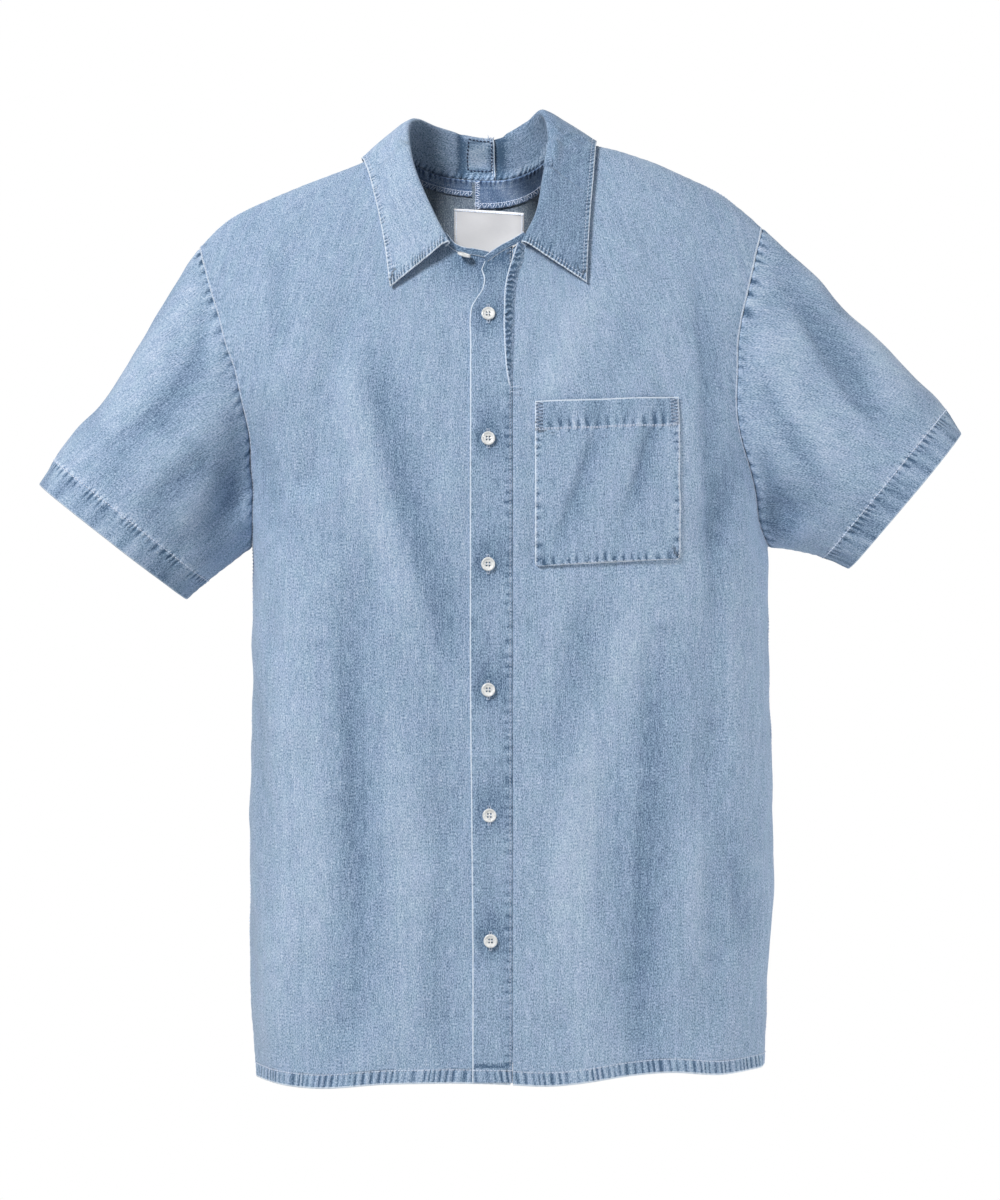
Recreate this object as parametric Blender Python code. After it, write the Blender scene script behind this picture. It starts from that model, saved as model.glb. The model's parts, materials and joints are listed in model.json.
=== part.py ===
"""A short-sleeved denim shirt that keeps the hollow shape it has when worn, with nobody in it.

The body is one smooth form: sections across the trunk, rounded over at the shoulder line.
Every piece of cloth is a wall on that form, cut where the maker's seams run.
Metres, +Z up. The front faces -Y, the wearer's left is +X, and the origin lies between the
shoulders, level with the shoulder tops, where the wearer carries the shirt.
"""

import math

import bpy
import numpy as np
from mathutils import Matrix, Vector

# Cloth and seams.
WALL = 0.0012
GAP = 0.0003
LAY = 0.0007
LAP = WALL + LAY
TRIM = 0.0010

# Heights.
HEM_Z = -0.766
UNDERARM_Z = -0.319
NECK_FRONT_Z = -0.0745
NECK_BACK_Z = -0.005
SHOULDER_ROUND = 0.120

# Sections of the trunk: height, middle in x, half width, front depth, back depth, squareness.
TRUNK = (
    (-0.766, 0.0180, 0.2155, 0.125, 0.119, 2.40),
    (-0.730, 0.0175, 0.2170, 0.125, 0.118, 2.40),
    (-0.690, 0.0165, 0.2190, 0.126, 0.117, 2.40),
    (-0.620, 0.0180, 0.2215, 0.126, 0.114, 2.40),
    (-0.450, 0.0173, 0.2195, 0.127, 0.110, 2.40),
    (-0.330, 0.0172, 0.2185, 0.126, 0.111, 2.40),
    (-0.250, 0.0120, 0.2190, 0.121, 0.113, 2.40),
    (-0.180, 0.0000, 0.2350, 0.107, 0.112, 2.40),
    (-0.100, -0.0050, 0.2480, 0.079, 0.100, 2.40),
    (-0.050, -0.0070, 0.2560, 0.063, 0.082, 2.40),
    (0.000, -0.0080, 0.2620, 0.056, 0.062, 2.40),
    (0.060, -0.0080, 0.2650, 0.054, 0.058, 2.40),
)
MIDDLE, HALF_WIDTH, FRONT_DEPTH, BACK_DEPTH, SQUARENESS = 1, 2, 3, 4, 5

# The line along the top of the shoulders and level across the neck: x, height.
SHOULDER_LINE = (
    (-0.290, -0.110),
    (-0.246, -0.064),
    (-0.221, -0.041),
    (-0.187, -0.023),
    (-0.153, -0.010),
    (-0.110, 0.008),
    (-0.075, 0.020),
    (0.000, 0.027),
    (0.057, 0.033),
    (0.094, 0.021),
    (0.136, 0.008),
    (0.170, -0.005),
    (0.204, -0.024),
    (0.231, -0.047),
    (0.280, -0.100),
)

RIGHT, LEFT = -1, 1
FRONT, BACK = 1, -1
NECK_X = {RIGHT: -0.075, LEFT: 0.057}
TIP_X = {RIGHT: -0.246, LEFT: 0.231}

# The hem's height, which dips and lifts a little: x, front height, back height.
HEM_LINE = (
    (-0.205, -0.765, -0.765),
    (-0.180, -0.770, -0.767),
    (-0.150, -0.772, -0.768),
    (-0.085, -0.767, -0.766),
    (0.000, -0.766, -0.764),
    (0.120, -0.760, -0.767),
    (0.153, -0.758, -0.766),
    (0.195, -0.761, -0.762),
    (0.236, -0.757, -0.757),
)

# The seam round the arm: share of the way down from shoulder to underarm, right x, left x.
ARMHOLE = (
    (0.00, -0.2460, 0.2310),
    (0.15, -0.2360, 0.2205),
    (0.31, -0.2235, 0.2110),
    (0.45, -0.2130, 0.2080),
    (0.61, -0.2050, 0.2085),
    (0.76, -0.2010, 0.2185),
    (0.88, -0.1995, 0.2265),
)

# Where each panel ends at the middle: the fronts lap under the placket, the backs over each other.
PANEL_EDGE_X = {
    (RIGHT, FRONT): 0.0170,
    (LEFT, FRONT): 0.0193,
    (RIGHT, BACK): 0.0050,
    (LEFT, BACK): -0.0350,
}

# Where the right back starts to sink under the left back, and where it is fully under.
LAP_START_X = -0.0520
LAP_FULL_X = -0.0400
# Between these depths it sinks by one more wall, to pass under the left back's doubled hem.
HEM_SINK = (0.700, 0.745)

# Grid lines of the panels: those that rise plumb to the neck, by their x, then those that fan
# out, by their angle there. NECK_U is the share of a panel's top that is neck, and UNDERARM_V
# the share of its height that is below the arm.
UNDERARM_V = 0.60
NECK_U = {(RIGHT, FRONT): 0.50, (LEFT, FRONT): 0.40, (RIGHT, BACK): 0.48, (LEFT, BACK): 0.50}
PLUMB_X = {RIGHT: LAP_START_X, LEFT: 0.0350}
PLUMB_LINES = {
    (RIGHT, FRONT): (0.0170, 0.0, -0.0170, -0.0350, LAP_START_X),
    (LEFT, FRONT): (0.0193, 0.0350),
    (RIGHT, BACK): (0.0050, -0.0180, LAP_FULL_X, LAP_START_X),
    (LEFT, BACK): (-0.0350, -0.0180, 0.0, 0.0180, 0.0350),
}
FAN_ANGLES = (45, 60, 75, 90)
SHOULDER_LINES = 6
BODY_ROWS = 9
ARM_ROWS = 12

# Sleeve ends, in front view: the cuff's upper corner and its lower corner.
CUFF_TOP = {RIGHT: (-0.384, -0.264), LEFT: (0.401, -0.221)}
CUFF_UNDER = {RIGHT: (-0.255, -0.361), LEFT: (0.304, -0.339)}
CUFF_DEPTH = 0.062
SLEEVE_FULLNESS = 0.006
SLEEVE_TOP_BOW = {RIGHT: -0.0045, LEFT: 0.0045}
SLEEVE_UNDER_BOW = -0.005
SLEEVE_HEM = 0.024
BODY_HEM = 0.011

# Long soft folds: face, x at top, height at top, x at bottom, height at bottom, width, depth.
FOLDS = (
    (FRONT, -0.098, -0.210, -0.128, -0.740, 0.022, -0.0050),
    (FRONT, -0.040, -0.330, -0.034, -0.760, 0.016, -0.0030),
    (FRONT, -0.165, -0.300, -0.178, -0.700, 0.018, 0.0040),
    (FRONT, 0.080, -0.340, 0.132, -0.760, 0.020, -0.0060),
    (FRONT, 0.060, -0.420, 0.084, -0.760, 0.018, 0.0040),
    (FRONT, 0.182, -0.330, 0.188, -0.700, 0.020, -0.0040),
    (FRONT, -0.120, -0.090, -0.150, -0.260, 0.018, -0.0035),
    (FRONT, 0.175, -0.110, 0.150, -0.200, 0.018, -0.0030),
    (BACK, -0.120, -0.240, -0.112, -0.750, 0.024, -0.0060),
    (BACK, -0.020, -0.300, -0.026, -0.760, 0.020, 0.0035),
    (BACK, 0.092, -0.220, 0.104, -0.760, 0.026, -0.0065),
    (BACK, 0.165, -0.340, 0.172, -0.740, 0.018, 0.0040),
)

# The collar round the neck: turn from centre back, the roll line's x, y, z, then where its edge
# comes to rest: x, and the angle over the shoulder line, positive in front.
COLLAR = (
    (-160, -0.0335, -0.0740, -0.0630, -0.0838, 90),
    (-140, -0.0460, -0.0620, -0.0390, -0.0880, 73),
    (-125, -0.0590, -0.0500, -0.0100, -0.0925, 59),
    (-105, -0.0665, -0.0280, 0.0160, -0.0995, 38),
    (-90, -0.0685, -0.0060, 0.0360, -0.1060, 14),
    (-70, -0.0630, 0.0140, 0.0460, -0.1070, -12),
    (-45, -0.0440, 0.0350, 0.0405, -0.0850, -36),
    (0, 0.0000, 0.0460, 0.0320, 0.0000, -52),
    (45, 0.0320, 0.0370, 0.0460, 0.0660, -36),
    (70, 0.0430, 0.0140, 0.0530, 0.0880, -12),
    (90, 0.0480, -0.0060, 0.0390, 0.0890, 16),
    (105, 0.0485, -0.0260, 0.0190, 0.0875, 39),
    (125, 0.0440, -0.0500, -0.0080, 0.0845, 60),
    (140, 0.0395, -0.0620, -0.0340, 0.0825, 76),
    (160, 0.0262, -0.0730, -0.0630, 0.0812, 92),
)
COLLAR_STEPS = 23
COLLAR_ROLL = 0.0035
COLLAR_BULGE = 0.0010
COLLAR_CLEAR = 0.0034
COLLAR_EDGE_LIFT = WALL + 2 * LAY + 0.0012
COLLAR_SEAM_LIFT = GAP + 0.0002
COLLAR_SPAN = {RIGHT: (-160, 3.5), LEFT: (-20, 160)}
# The left half tucks under the right between these angles and comes level after them.
COLLAR_TUCK = (11, 19)

# Placket, the band beside it at the neck, and the pocket.
# Height, the placket's free edge, its sewn edge.
PLACKET = (
    (-0.7660, -0.0145, 0.0190),
    (-0.6500, -0.0145, 0.0190),
    (-0.5400, -0.0155, 0.0190),
    (-0.4300, -0.0165, 0.0190),
    (-0.3200, -0.0165, 0.0190),
    (-0.2000, -0.0165, 0.0190),
    (-0.1500, -0.0165, 0.0190),
    (-0.1250, -0.0165, 0.0190),
    (-0.1185, -0.0155, 0.0190),
    (-0.1125, -0.0120, 0.0190),
    (-0.1050, -0.0070, 0.0190),
    (-0.0950, -0.0050, 0.0190),
    (-0.0870, -0.0072, 0.0190),
)
PLACKET_BEND = 7
PLACKET_TOP = ((-0.0045, -0.0815), (0.0190, -0.0685))
SLIT_BAND = (
    (-0.1860, 0.0162, 0.0186),
    (-0.1760, 0.0142, 0.0190),
    (-0.1632, 0.0128, 0.0200),
    (-0.1484, 0.0120, 0.0200),
    (-0.1337, 0.0115, 0.0200),
    (-0.1199, 0.0118, 0.0198),
    (-0.1042, 0.0124, 0.0212),
    (-0.0904, 0.0165, 0.0240),
    (-0.0776, 0.0218, 0.0270),
)
POCKET_X = (0.0376, 0.1580)
POCKET_Z = (-0.3320, -0.1960)
POCKET_RISE = 0.025
POCKET_HEM = 0.024
POCKET_CORNER = 0.010
POCKET_EASE = 0.0008

# Buttons.
BUTTON_RADIUS = 0.0058
BUTTON_THICK = 0.0024
BUTTON_RIM = 0.0012
BUTTON_HOLE = 0.0007
BUTTON_HOLE_OUT = 0.0016
BUTTON_SIDES = 20
HOLE_SIDES = 8
FIRST_BUTTON_Z = -0.125
BUTTON_PITCH = 0.1045
BUTTON_COUNT = 6
BUTTON_SETBACK = 0.0152
COLLAR_BUTTON = (-0.0220, -0.0770, 0.0050)
COLLAR_BUTTON_TILT = -58
COLLAR_BUTTON_LEAN = -20

# Inside the back neck.
FACING_X = {RIGHT: (-0.064, -0.0155), LEFT: (-0.0130, 0.0460)}
FACING_DROP = {RIGHT: (0.0015, 0.0110), LEFT: (0.0015, 0.0205)}
LABEL_X = (-0.031, 0.029)
LABEL_Z = (-0.090, -0.0275)

DENIM = (0.33, 0.44, 0.60, 1.0)
DENIM_INSIDE = (0.20, 0.27, 0.38, 1.0)
NAVY = (0.09, 0.15, 0.27, 1.0)
RESIN = (0.80, 0.80, 0.78, 1.0)
SATIN = (0.62, 0.62, 0.63, 1.0)
SHARP_ANGLE = math.radians(40)


# ---------------------------------------------------------------- the form

def along(rows, x, column):
    """A table's column, smooth between its rows, at x in its first column."""
    table = np.array(rows, dtype=float)
    xs, ys = table[:, 0], table[:, column]
    slope = np.gradient(ys, xs)
    x = np.clip(x, xs[0], xs[-1])
    i = np.clip(np.searchsorted(xs, x) - 1, 0, len(xs) - 2)
    span = xs[i + 1] - xs[i]
    t = (x - xs[i]) / span
    ends = ys[i] * (1 + 2 * t) * (1 - t) ** 2 + ys[i + 1] * t * t * (3 - 2 * t)
    return ends + span * t * (1 - t) * (slope[i] * (1 - t) - slope[i + 1] * t)


def smooth_step(x, start, end):
    """0 before start and 1 after end, with soft ends."""
    t = np.clip((x - start) / (end - start), 0.0, 1.0)
    return t * t * (3 - 2 * t)


def fall_to_drop(fall):
    """How far below the shoulder line a point lies, from its angle over the shoulder."""
    below = SHOULDER_ROUND * (1 + fall - math.pi / 2)
    return np.where(fall < math.pi / 2, SHOULDER_ROUND * (1 - np.cos(fall)), below)


def drop_to_fall(drop):
    """The angle over the shoulder that lies this far below the shoulder line."""
    curve = np.arccos(np.clip(1 - drop / SHOULDER_ROUND, 0.0, 1.0))
    return np.where(drop < SHOULDER_ROUND, curve, math.pi / 2 + drop / SHOULDER_ROUND - 1)


def bare_form(turn, over):
    """The form with no folds. turn goes round from the middle to each side at 90 degrees.
    over is the angle down from the shoulder line: in front when positive, behind when negative."""
    z = np.zeros_like(turn + over)
    fall = np.abs(over)
    for _ in range(6):
        x = along(TRUNK, z, MIDDLE) + along(TRUNK, z, HALF_WIDTH) * np.sin(turn)
        z = along(SHOULDER_LINE, x, 1) - fall_to_drop(fall)
    power = along(TRUNK, z, SQUARENESS)
    flank = np.sign(np.cos(turn)) * np.abs(1 - np.abs(np.sin(turn)) ** power) ** (1 / power)
    front = along(TRUNK, z, FRONT_DEPTH)
    back = along(TRUNK, z, BACK_DEPTH)
    depth = np.where(over >= 0, front, back) * np.sin(np.minimum(fall, math.pi / 2))
    return np.stack([x, -np.sign(over) * depth * flank, z], axis=-1)


def unit(vectors):
    return vectors / np.maximum(np.linalg.norm(vectors, axis=-1, keepdims=True), 1e-12)


def fold_height(point, over):
    """How far the long folds lift or sink the cloth at a point."""
    x, z = point[..., 0], point[..., 2]
    lift = np.zeros_like(x)
    for face, x_top, z_top, x_low, z_low, width, depth in FOLDS:
        t = (z_top - z) / (z_top - z_low)
        off = (x - x_top - (x_low - x_top) * t) / width
        ends = smooth_step(t, 0.0, 0.3) * (1 - smooth_step(t, 1.0, 1.15))
        lift += np.where(np.sign(over) == face, depth * ends * np.exp(-off * off), 0.0)
    return lift


def form(turn, over, out=0.0):
    """Points of the form with its folds, moved out along the surface, and the directions out."""
    step = 0.002
    point = bare_form(turn, over)
    across = bare_form(turn + step, over) - bare_form(turn - step, over)
    down = bare_form(turn, over + step) - bare_form(turn, over - step)
    normal = unit(np.cross(down, across))
    return point + normal * (fold_height(point, over) + out)[..., None], normal


def place(x, z, face):
    """turn and over of the form's point at this x and height, in front or behind."""
    reach = (x - along(TRUNK, z, MIDDLE)) / along(TRUNK, z, HALF_WIDTH)
    drop = np.maximum(along(SHOULDER_LINE, x, 1) - z, 0.0)
    return np.arcsin(np.clip(reach, -1.0, 1.0)), face * drop_to_fall(drop)


def hem_z(x, face):
    """Height of the hem at x."""
    return along(HEM_LINE, x, 1 if face == FRONT else 2)


def neck_swing(angle):
    """How far out the neck seam lies at an angle from the middle: 0 there, 1 at the shoulder."""
    return np.sin(angle) * np.sqrt(1 + np.cos(angle) ** 2)


def neck_angle(side, x):
    """The angle from the middle at which the neck seam reaches x."""
    outward = x * side
    reach = abs(NECK_X[side] if outward > 0 else NECK_X[-side])
    angle = math.pi / 2 - math.asin((1 - (outward / reach) ** 2) ** 0.25)
    return math.copysign(angle, outward)


def neck_z(x, face):
    """Height of the neck seam at x."""
    half = np.where(x < 0, NECK_X[RIGHT], NECK_X[LEFT])
    top = along(SHOULDER_LINE, half, 1)
    low = NECK_FRONT_Z if face == FRONT else NECK_BACK_Z
    return top - (top - low) * np.sqrt(np.clip(1 - (x / half) ** 2, 0.0, 1.0))


# ---------------------------------------------------------------- walls

def material(name, colour, roughness):
    made = bpy.data.materials.new(name)
    made.use_nodes = True
    shader = made.node_tree.nodes["Principled BSDF"]
    shader.inputs["Base Color"].default_value = colour
    shader.inputs["Roughness"].default_value = roughness
    shader.inputs["Metallic"].default_value = 0.0
    return made


def add_object(name, mesh, colour, roughness=0.85):
    thing = bpy.data.objects.new(name, mesh)
    bpy.context.scene.collection.objects.link(thing)
    mesh.materials.append(material(name, colour, roughness))
    mesh.shade_smooth()
    mesh.set_sharp_from_angle(angle=SHARP_ANGLE)
    return thing


def wall(name, outer, normal, thick, colour=DENIM, ring=False):
    """A closed wall of cloth: a grid of points, a grid the cloth's thickness under it, and a rim.
    The rows run along the first axis; a ring joins its last column to its first."""
    rows, columns = outer.shape[:2]
    thick = np.broadcast_to(thick, (rows, columns))
    inner = outer - normal * thick[..., None]
    points = np.concatenate([outer.reshape(-1, 3), inner.reshape(-1, 3)])
    under = rows * columns
    last = columns if ring else columns - 1
    faces = []
    for i in range(rows - 1):
        for j in range(last):
            k = (j + 1) % columns
            a, b = i * columns + j, i * columns + k
            c, d = a + columns, b + columns
            faces += [(a, b, d), (a, d, c)]
            faces += [(under + a, under + d, under + b), (under + a, under + c, under + d)]
    for j in range(last):
        k = (j + 1) % columns
        low, top = (rows - 1) * columns, 0
        faces += [(top + k, top + j, under + top + j, under + top + k)]
        faces += [(low + j, low + k, under + low + k, under + low + j)]
    if not ring:
        for i in range(rows - 1):
            a, c = i * columns, (i + 1) * columns
            b, d = a + columns - 1, c + columns - 1
            faces += [(a, c, under + c, under + a)]
            faces += [(d, b, under + b, under + d)]
    mesh = bpy.data.meshes.new(name)
    mesh.from_pydata([tuple(p) for p in points], [], faces)
    mesh.validate()
    facing = sum(f.normal.dot(Vector(normal.reshape(-1, 3)[f.vertices[0]])) for f in mesh.polygons
                 if max(f.vertices) < under)
    if facing < 0:
        mesh.flip_normals()
    return add_object(name, mesh, colour)


def pull_in(points, edges, amount):
    """Moves the named edges of a grid into it by a small amount, along the cloth."""
    moved = points.copy()
    rules = {
        "low": (np.s_[0], np.s_[1]),
        "top": (np.s_[-1], np.s_[-2]),
        "start": (np.s_[:, 0], np.s_[:, 1]),
        "end": (np.s_[:, -1], np.s_[:, -2]),
    }
    for edge in edges:
        at, beside = rules[edge]
        moved[at] += unit(points[beside] - points[at]) * amount
    return moved


# ---------------------------------------------------------------- front and back panels

def armhole(side, share):
    """turn and over of the arm seam in front, share 1 at the underarm and 0 at the shoulder."""
    drop = (1 - np.cos(math.pi * share)) / 2
    tip_z = float(along(SHOULDER_LINE, TIP_X[side], 1))
    z = tip_z - drop * (tip_z - UNDERARM_Z)
    end_x = along(TRUNK, UNDERARM_Z, MIDDLE) + side * along(TRUNK, UNDERARM_Z, HALF_WIDTH)
    column = 1 if side == RIGHT else 2
    x = along(ARMHOLE + ((1.0, end_x, end_x),), drop, column)
    turn, over = place(x, z, FRONT)
    turn = np.where(drop > 0.9999, side * math.pi / 2, turn)
    return turn, np.where(share < 0.0001, 0.0, over)


def panel_edges(side, face, u, v):
    """turn and over along a panel's four edges: hem and top at u, middle and side at v."""
    edge_x = PANEL_EDGE_X[side, face]
    first = neck_angle(side, edge_x)
    plumb = neck_angle(side, PLUMB_X[side])
    split = NECK_U[side, face]
    angle = first + (math.pi / 2 - first) * np.minimum(u / split, 1.0)
    rest = np.clip((u - split) / (1 - split), 0.0, 1.0)
    neck_x = side * neck_swing(angle) * np.where(angle > 0, abs(NECK_X[side]), abs(NECK_X[-side]))
    top_x = neck_x + rest * (TIP_X[side] - NECK_X[side])
    top_z = np.where(rest > 0, along(SHOULDER_LINE, top_x, 1), neck_z(neck_x, face))
    top = place(top_x, top_z, face)
    plumb_u = split * (plumb - first) / (math.pi / 2 - first)
    fan = np.clip((u - plumb_u) / (1 - plumb_u), 0.0, 1.0)
    low_x = np.where(fan > 0, PLUMB_X[side], neck_x)
    hem_turn, _ = place(low_x, np.full_like(u, HEM_Z), face)
    hem_turn = hem_turn + fan * (side * math.pi / 2 - hem_turn)
    hem_x = along(TRUNK, HEM_Z, MIDDLE) + along(TRUNK, HEM_Z, HALF_WIDTH) * np.sin(hem_turn)
    hem_turn, hem_over = place(hem_x, hem_z(hem_x, face), face)
    hem = np.where(u > 0.9999, side * math.pi / 2, hem_turn), hem_over
    low = np.minimum(v / UNDERARM_V, 1.0)
    high = np.clip((v - UNDERARM_V) / (1 - UNDERARM_V), 0.0, 1.0)
    mid_x = np.full_like(v, edge_x)
    start = hem_z(mid_x, face)
    mid_z = start + low * (UNDERARM_Z - start) + high * (neck_z(mid_x, face) - UNDERARM_Z)
    middle = place(mid_x, mid_z, face)
    start = hem_z(hem_x[-1], face)
    climb = start + low * (UNDERARM_Z - start)
    side_x = along(TRUNK, climb, MIDDLE) + side * along(TRUNK, climb, HALF_WIDTH)
    seam_turn = np.full_like(v, side * math.pi / 2)
    seam_over = place(side_x, climb, face)[1]
    arm_turn, arm_over = armhole(side, 1 - high)
    flank = np.where(high > 0, arm_turn, seam_turn), np.where(high > 0, face * arm_over, seam_over)
    return hem, top, middle, flank


def panel_domain(side, face, u, v):
    """turn and over of a panel's points, blended from its edges.
    The neck's and shoulder's bend dies away a short way down, so that the cloth below is smooth."""
    hem, top, middle, flank = panel_edges(side, face, u, v)
    domain = []
    for axis in (0, 1):
        h, t, m, f = hem[axis], top[axis], middle[axis], flank[axis]
        low_bend = h - ((1 - u) * h[0] + u * h[-1])
        top_bend = t - ((1 - u) * t[0] + u * t[-1])
        level = (1 - u)[None, :] * m[:, None] + u[None, :] * f[:, None]
        low_share = ((1 - v) ** 2)[:, None]
        top_share = (v ** 4)[:, None]
        domain.append(level + low_share * low_bend[None, :] + top_share * top_bend[None, :])
    return domain


def lapped_under(point, side, face):
    """How far out a panel lies: the right back goes under the left back where they lap."""
    x, z = point[..., 0], point[..., 2]
    if (side, face) != (RIGHT, BACK):
        return np.zeros_like(x)
    depth = LAP + WALL * smooth_step(-z, *HEM_SINK)
    return -depth * smooth_step(x, LAP_START_X, LAP_FULL_X)


def panel_grid(side, face, u, v):
    turn, over = panel_domain(side, face, u, v)
    return form(turn, over, lapped_under(bare_form(turn, over), side, face))


def panel_steps(side, face):
    """u and v of a panel's grid lines, with one line at the hem's fold and one at each corner."""
    split = NECK_U[side, face]
    plumb = [neck_angle(side, x) for x in PLUMB_LINES[side, face]]
    angle = np.array(plumb + [math.radians(a) for a in FAN_ANGLES])
    neck_part = (angle - angle[0]) / (angle[-1] - angle[0])
    u = np.concatenate([neck_part * split, np.linspace(split, 1, SHOULDER_LINES + 1)[1:]])
    hem_top = UNDERARM_V * BODY_HEM / (UNDERARM_Z - HEM_Z)
    body = np.linspace(hem_top * 1.08, UNDERARM_V, BODY_ROWS)
    arm = np.linspace(UNDERARM_V, 1, ARM_ROWS + 1)[1:]
    return u, np.concatenate([[0.0, hem_top], body, arm])


def blend_arm_normals(side, face, normal):
    """Turns the panel's directions out half way to the sleeve's along the arm seam."""
    cap = sleeve_normals(side)[0]
    for row in range(ARM_ROWS + 1):
        k = row if face == FRONT else -row
        own = normal[row - ARM_ROWS - 1, -1]
        normal[row - ARM_ROWS - 1, -1] = unit(own + cap[k])
    return normal


def make_panel(name, side, face):
    u, v = panel_steps(side, face)
    points, normal = panel_grid(side, face, u, v)
    normal = blend_arm_normals(side, face, normal)
    edges = ["end", "top"]
    points = pull_in(points, edges, GAP / 2)
    thick = np.where(np.arange(len(v)) < 2, 2 * WALL, WALL)[:, None]
    return wall(name, points, normal, thick)


# ---------------------------------------------------------------- sleeves

def arm_ring(side, turns):
    """The arm seam all round: 0 at the underarm, then up the front, over the tip and down behind."""
    share = np.where(turns <= 0.5, 1 - 2 * turns, 2 * turns - 1)
    face = np.where(turns <= 0.5, FRONT, BACK)
    turn, over = armhole(side, share)
    return form(turn, face * over)


def cuff_ring(side, turns):
    top = np.array([CUFF_TOP[side][0], 0.0, CUFF_TOP[side][1]])
    under = np.array([CUFF_UNDER[side][0], 0.0, CUFF_UNDER[side][1]])
    angle = 2 * math.pi * turns[:, None]
    across = (top + under) / 2 - (top - under) / 2 * np.cos(angle)
    return across + np.array([0.0, -CUFF_DEPTH, 0.0]) * np.sin(angle)


def sleeve_grid(side, turns, length):
    """Points of a sleeve: turns round it, and length 0 at the arm seam to 1 at the cuff."""
    cap, _ = arm_ring(side, turns)
    cuff = cuff_ring(side, turns)
    way = cuff.mean(axis=0) - cap.mean(axis=0)
    middle = cap.mean(axis=0)[None, None, :] + way[None, None, :] * length[:, None, None]
    points = cap[None] + (cuff - cap)[None] * length[:, None, None]
    faces = SLEEVE_FULLNESS * np.sin(2 * math.pi * turns) ** 2
    top = SLEEVE_TOP_BOW[side] * np.maximum(-np.cos(2 * math.pi * turns), 0) ** 2
    under = SLEEVE_UNDER_BOW * np.maximum(np.cos(2 * math.pi * turns), 0) ** 2
    bulge = 4 * (length * (1 - length))[:, None] * (faces + top + under)[None, :]
    return points + unit(points - middle) * bulge[..., None]


def grid_normals(points, outward):
    """Directions out of a ring-shaped grid, from its own neighbours."""
    round_way = np.roll(points, -1, axis=1) - np.roll(points, 1, axis=1)
    along_way = np.gradient(points, axis=0)
    normal = unit(np.cross(along_way, round_way))
    sign = np.sign((normal * outward).sum())
    return normal * sign


SLEEVE_TURNS = np.arange(2 * ARM_ROWS) / (2 * ARM_ROWS)


def sleeve_steps(side):
    top = np.array(CUFF_TOP[side])
    tip = np.array([TIP_X[side], float(along(SHOULDER_LINE, TIP_X[side], 1))])
    hem = 1 - SLEEVE_HEM / np.linalg.norm(top - tip)
    return np.concatenate([np.linspace(0, hem - 0.01, 6), [hem, 1.0]])


def sleeve_normals(side):
    points = sleeve_grid(side, SLEEVE_TURNS, sleeve_steps(side))
    return grid_normals(points, points - points.mean(axis=1, keepdims=True))


def make_sleeve(name, side):
    length = sleeve_steps(side)
    points = sleeve_grid(side, SLEEVE_TURNS, length)
    normal = sleeve_normals(side)
    _, body_normal = arm_ring(side, SLEEVE_TURNS)
    normal[0] = unit(normal[0] + body_normal)
    points = pull_in(points, ["low"], GAP / 2)
    thick = np.where(np.arange(len(length)) >= len(length) - 2, 2 * WALL, WALL)[:, None]
    return wall(name, points, normal, thick, ring=True)


# ---------------------------------------------------------------- collar

def neck_ring(angle):
    """The neck seam: angle in degrees from centre back, negative on the wearer's right."""
    x = neck_swing(np.radians(angle)) * np.where(angle < 0, -NECK_X[RIGHT], NECK_X[LEFT])
    behind = np.abs(angle) < 90
    z = np.where(behind, neck_z(x, BACK), neck_z(x, FRONT))
    turn, over = place(x, z, np.where(behind, BACK, FRONT))
    return form(turn, over)


def clear_of_body(points, face, clear):
    """The points, moved out where they lie nearer to the panels than clear."""
    body, out = form(*place(points[..., 0], points[..., 2], face))
    gap = ((points - body) * out).sum(-1, keepdims=True)
    return points + out * np.maximum(clear - gap, 0.0)


def collar_grid(angle, out=0.0):
    """The collar from its neck seam up to the roll line and down to its edge.
    The points run along the second axis from the seam to the edge."""
    angle = np.asarray(angle, dtype=float)
    roll = np.stack([along(COLLAR, angle, c) for c in (1, 2, 3)], axis=-1)
    edge_x = along(COLLAR, angle, 4)
    over = np.radians(along(COLLAR, angle, 5))
    z = along(SHOULDER_LINE, edge_x, 1) - fall_to_drop(np.abs(over))
    turn, _ = place(edge_x, z, FRONT)
    edge, lift = form(turn, over)
    edge = edge + lift * COLLAR_EDGE_LIFT
    face = np.where(over >= 0, FRONT, BACK)
    seam, lift = neck_ring(angle)
    tangent = unit(np.gradient(roll, axis=0))
    up = roll - (seam + edge) / 2
    up = unit(up - tangent * (up * tangent).sum(-1, keepdims=True))
    side = unit(np.cross(tangent, up))
    side *= np.where((side * (edge - seam)).sum(-1, keepdims=True) < 0, -1, 1)
    inner = roll - (side + up) * COLLAR_ROLL
    outer = clear_of_body(roll + (side - up) * COLLAR_ROLL, face, COLLAR_CLEAR)
    base = seam + lift * COLLAR_SEAM_LIFT
    bulge = (side + up) * COLLAR_BULGE
    shoulder = side * COLLAR_ROLL * 0.7
    dip = up * COLLAR_ROLL * 0.3
    rows = [base, (base + inner) / 2, inner, roll - shoulder - dip, roll, roll + shoulder - dip, outer]
    for t in (0.33, 0.67):
        leaf = outer + (edge - outer) * t + bulge * 4 * t * (1 - t)
        rows.append(clear_of_body(leaf, face, COLLAR_CLEAR))
    rows.append(edge)
    points = np.stack(rows, axis=1)
    normal = unit(np.cross(np.gradient(points, axis=0), np.gradient(points, axis=1)))
    if (normal[:, 4] * up).sum() < 0:
        normal = -normal
    inward = unit(np.cross(lift, np.gradient(seam, axis=0)))
    normal[:, 0] = inward * np.sign((inward * normal[:, 0]).sum(-1, keepdims=True))
    return points + normal * np.broadcast_to(out, angle.shape)[:, None, None], normal


def make_collar(name, side):
    first, last = COLLAR_SPAN[side]
    angle = np.linspace(first, last, COLLAR_STEPS)
    tuck = np.zeros_like(angle)
    if side == LEFT:
        tuck = -LAP * (1 - smooth_step(angle, *COLLAR_TUCK))
    points, normal = collar_grid(angle, tuck)
    return wall(name, points, normal, WALL)


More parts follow.
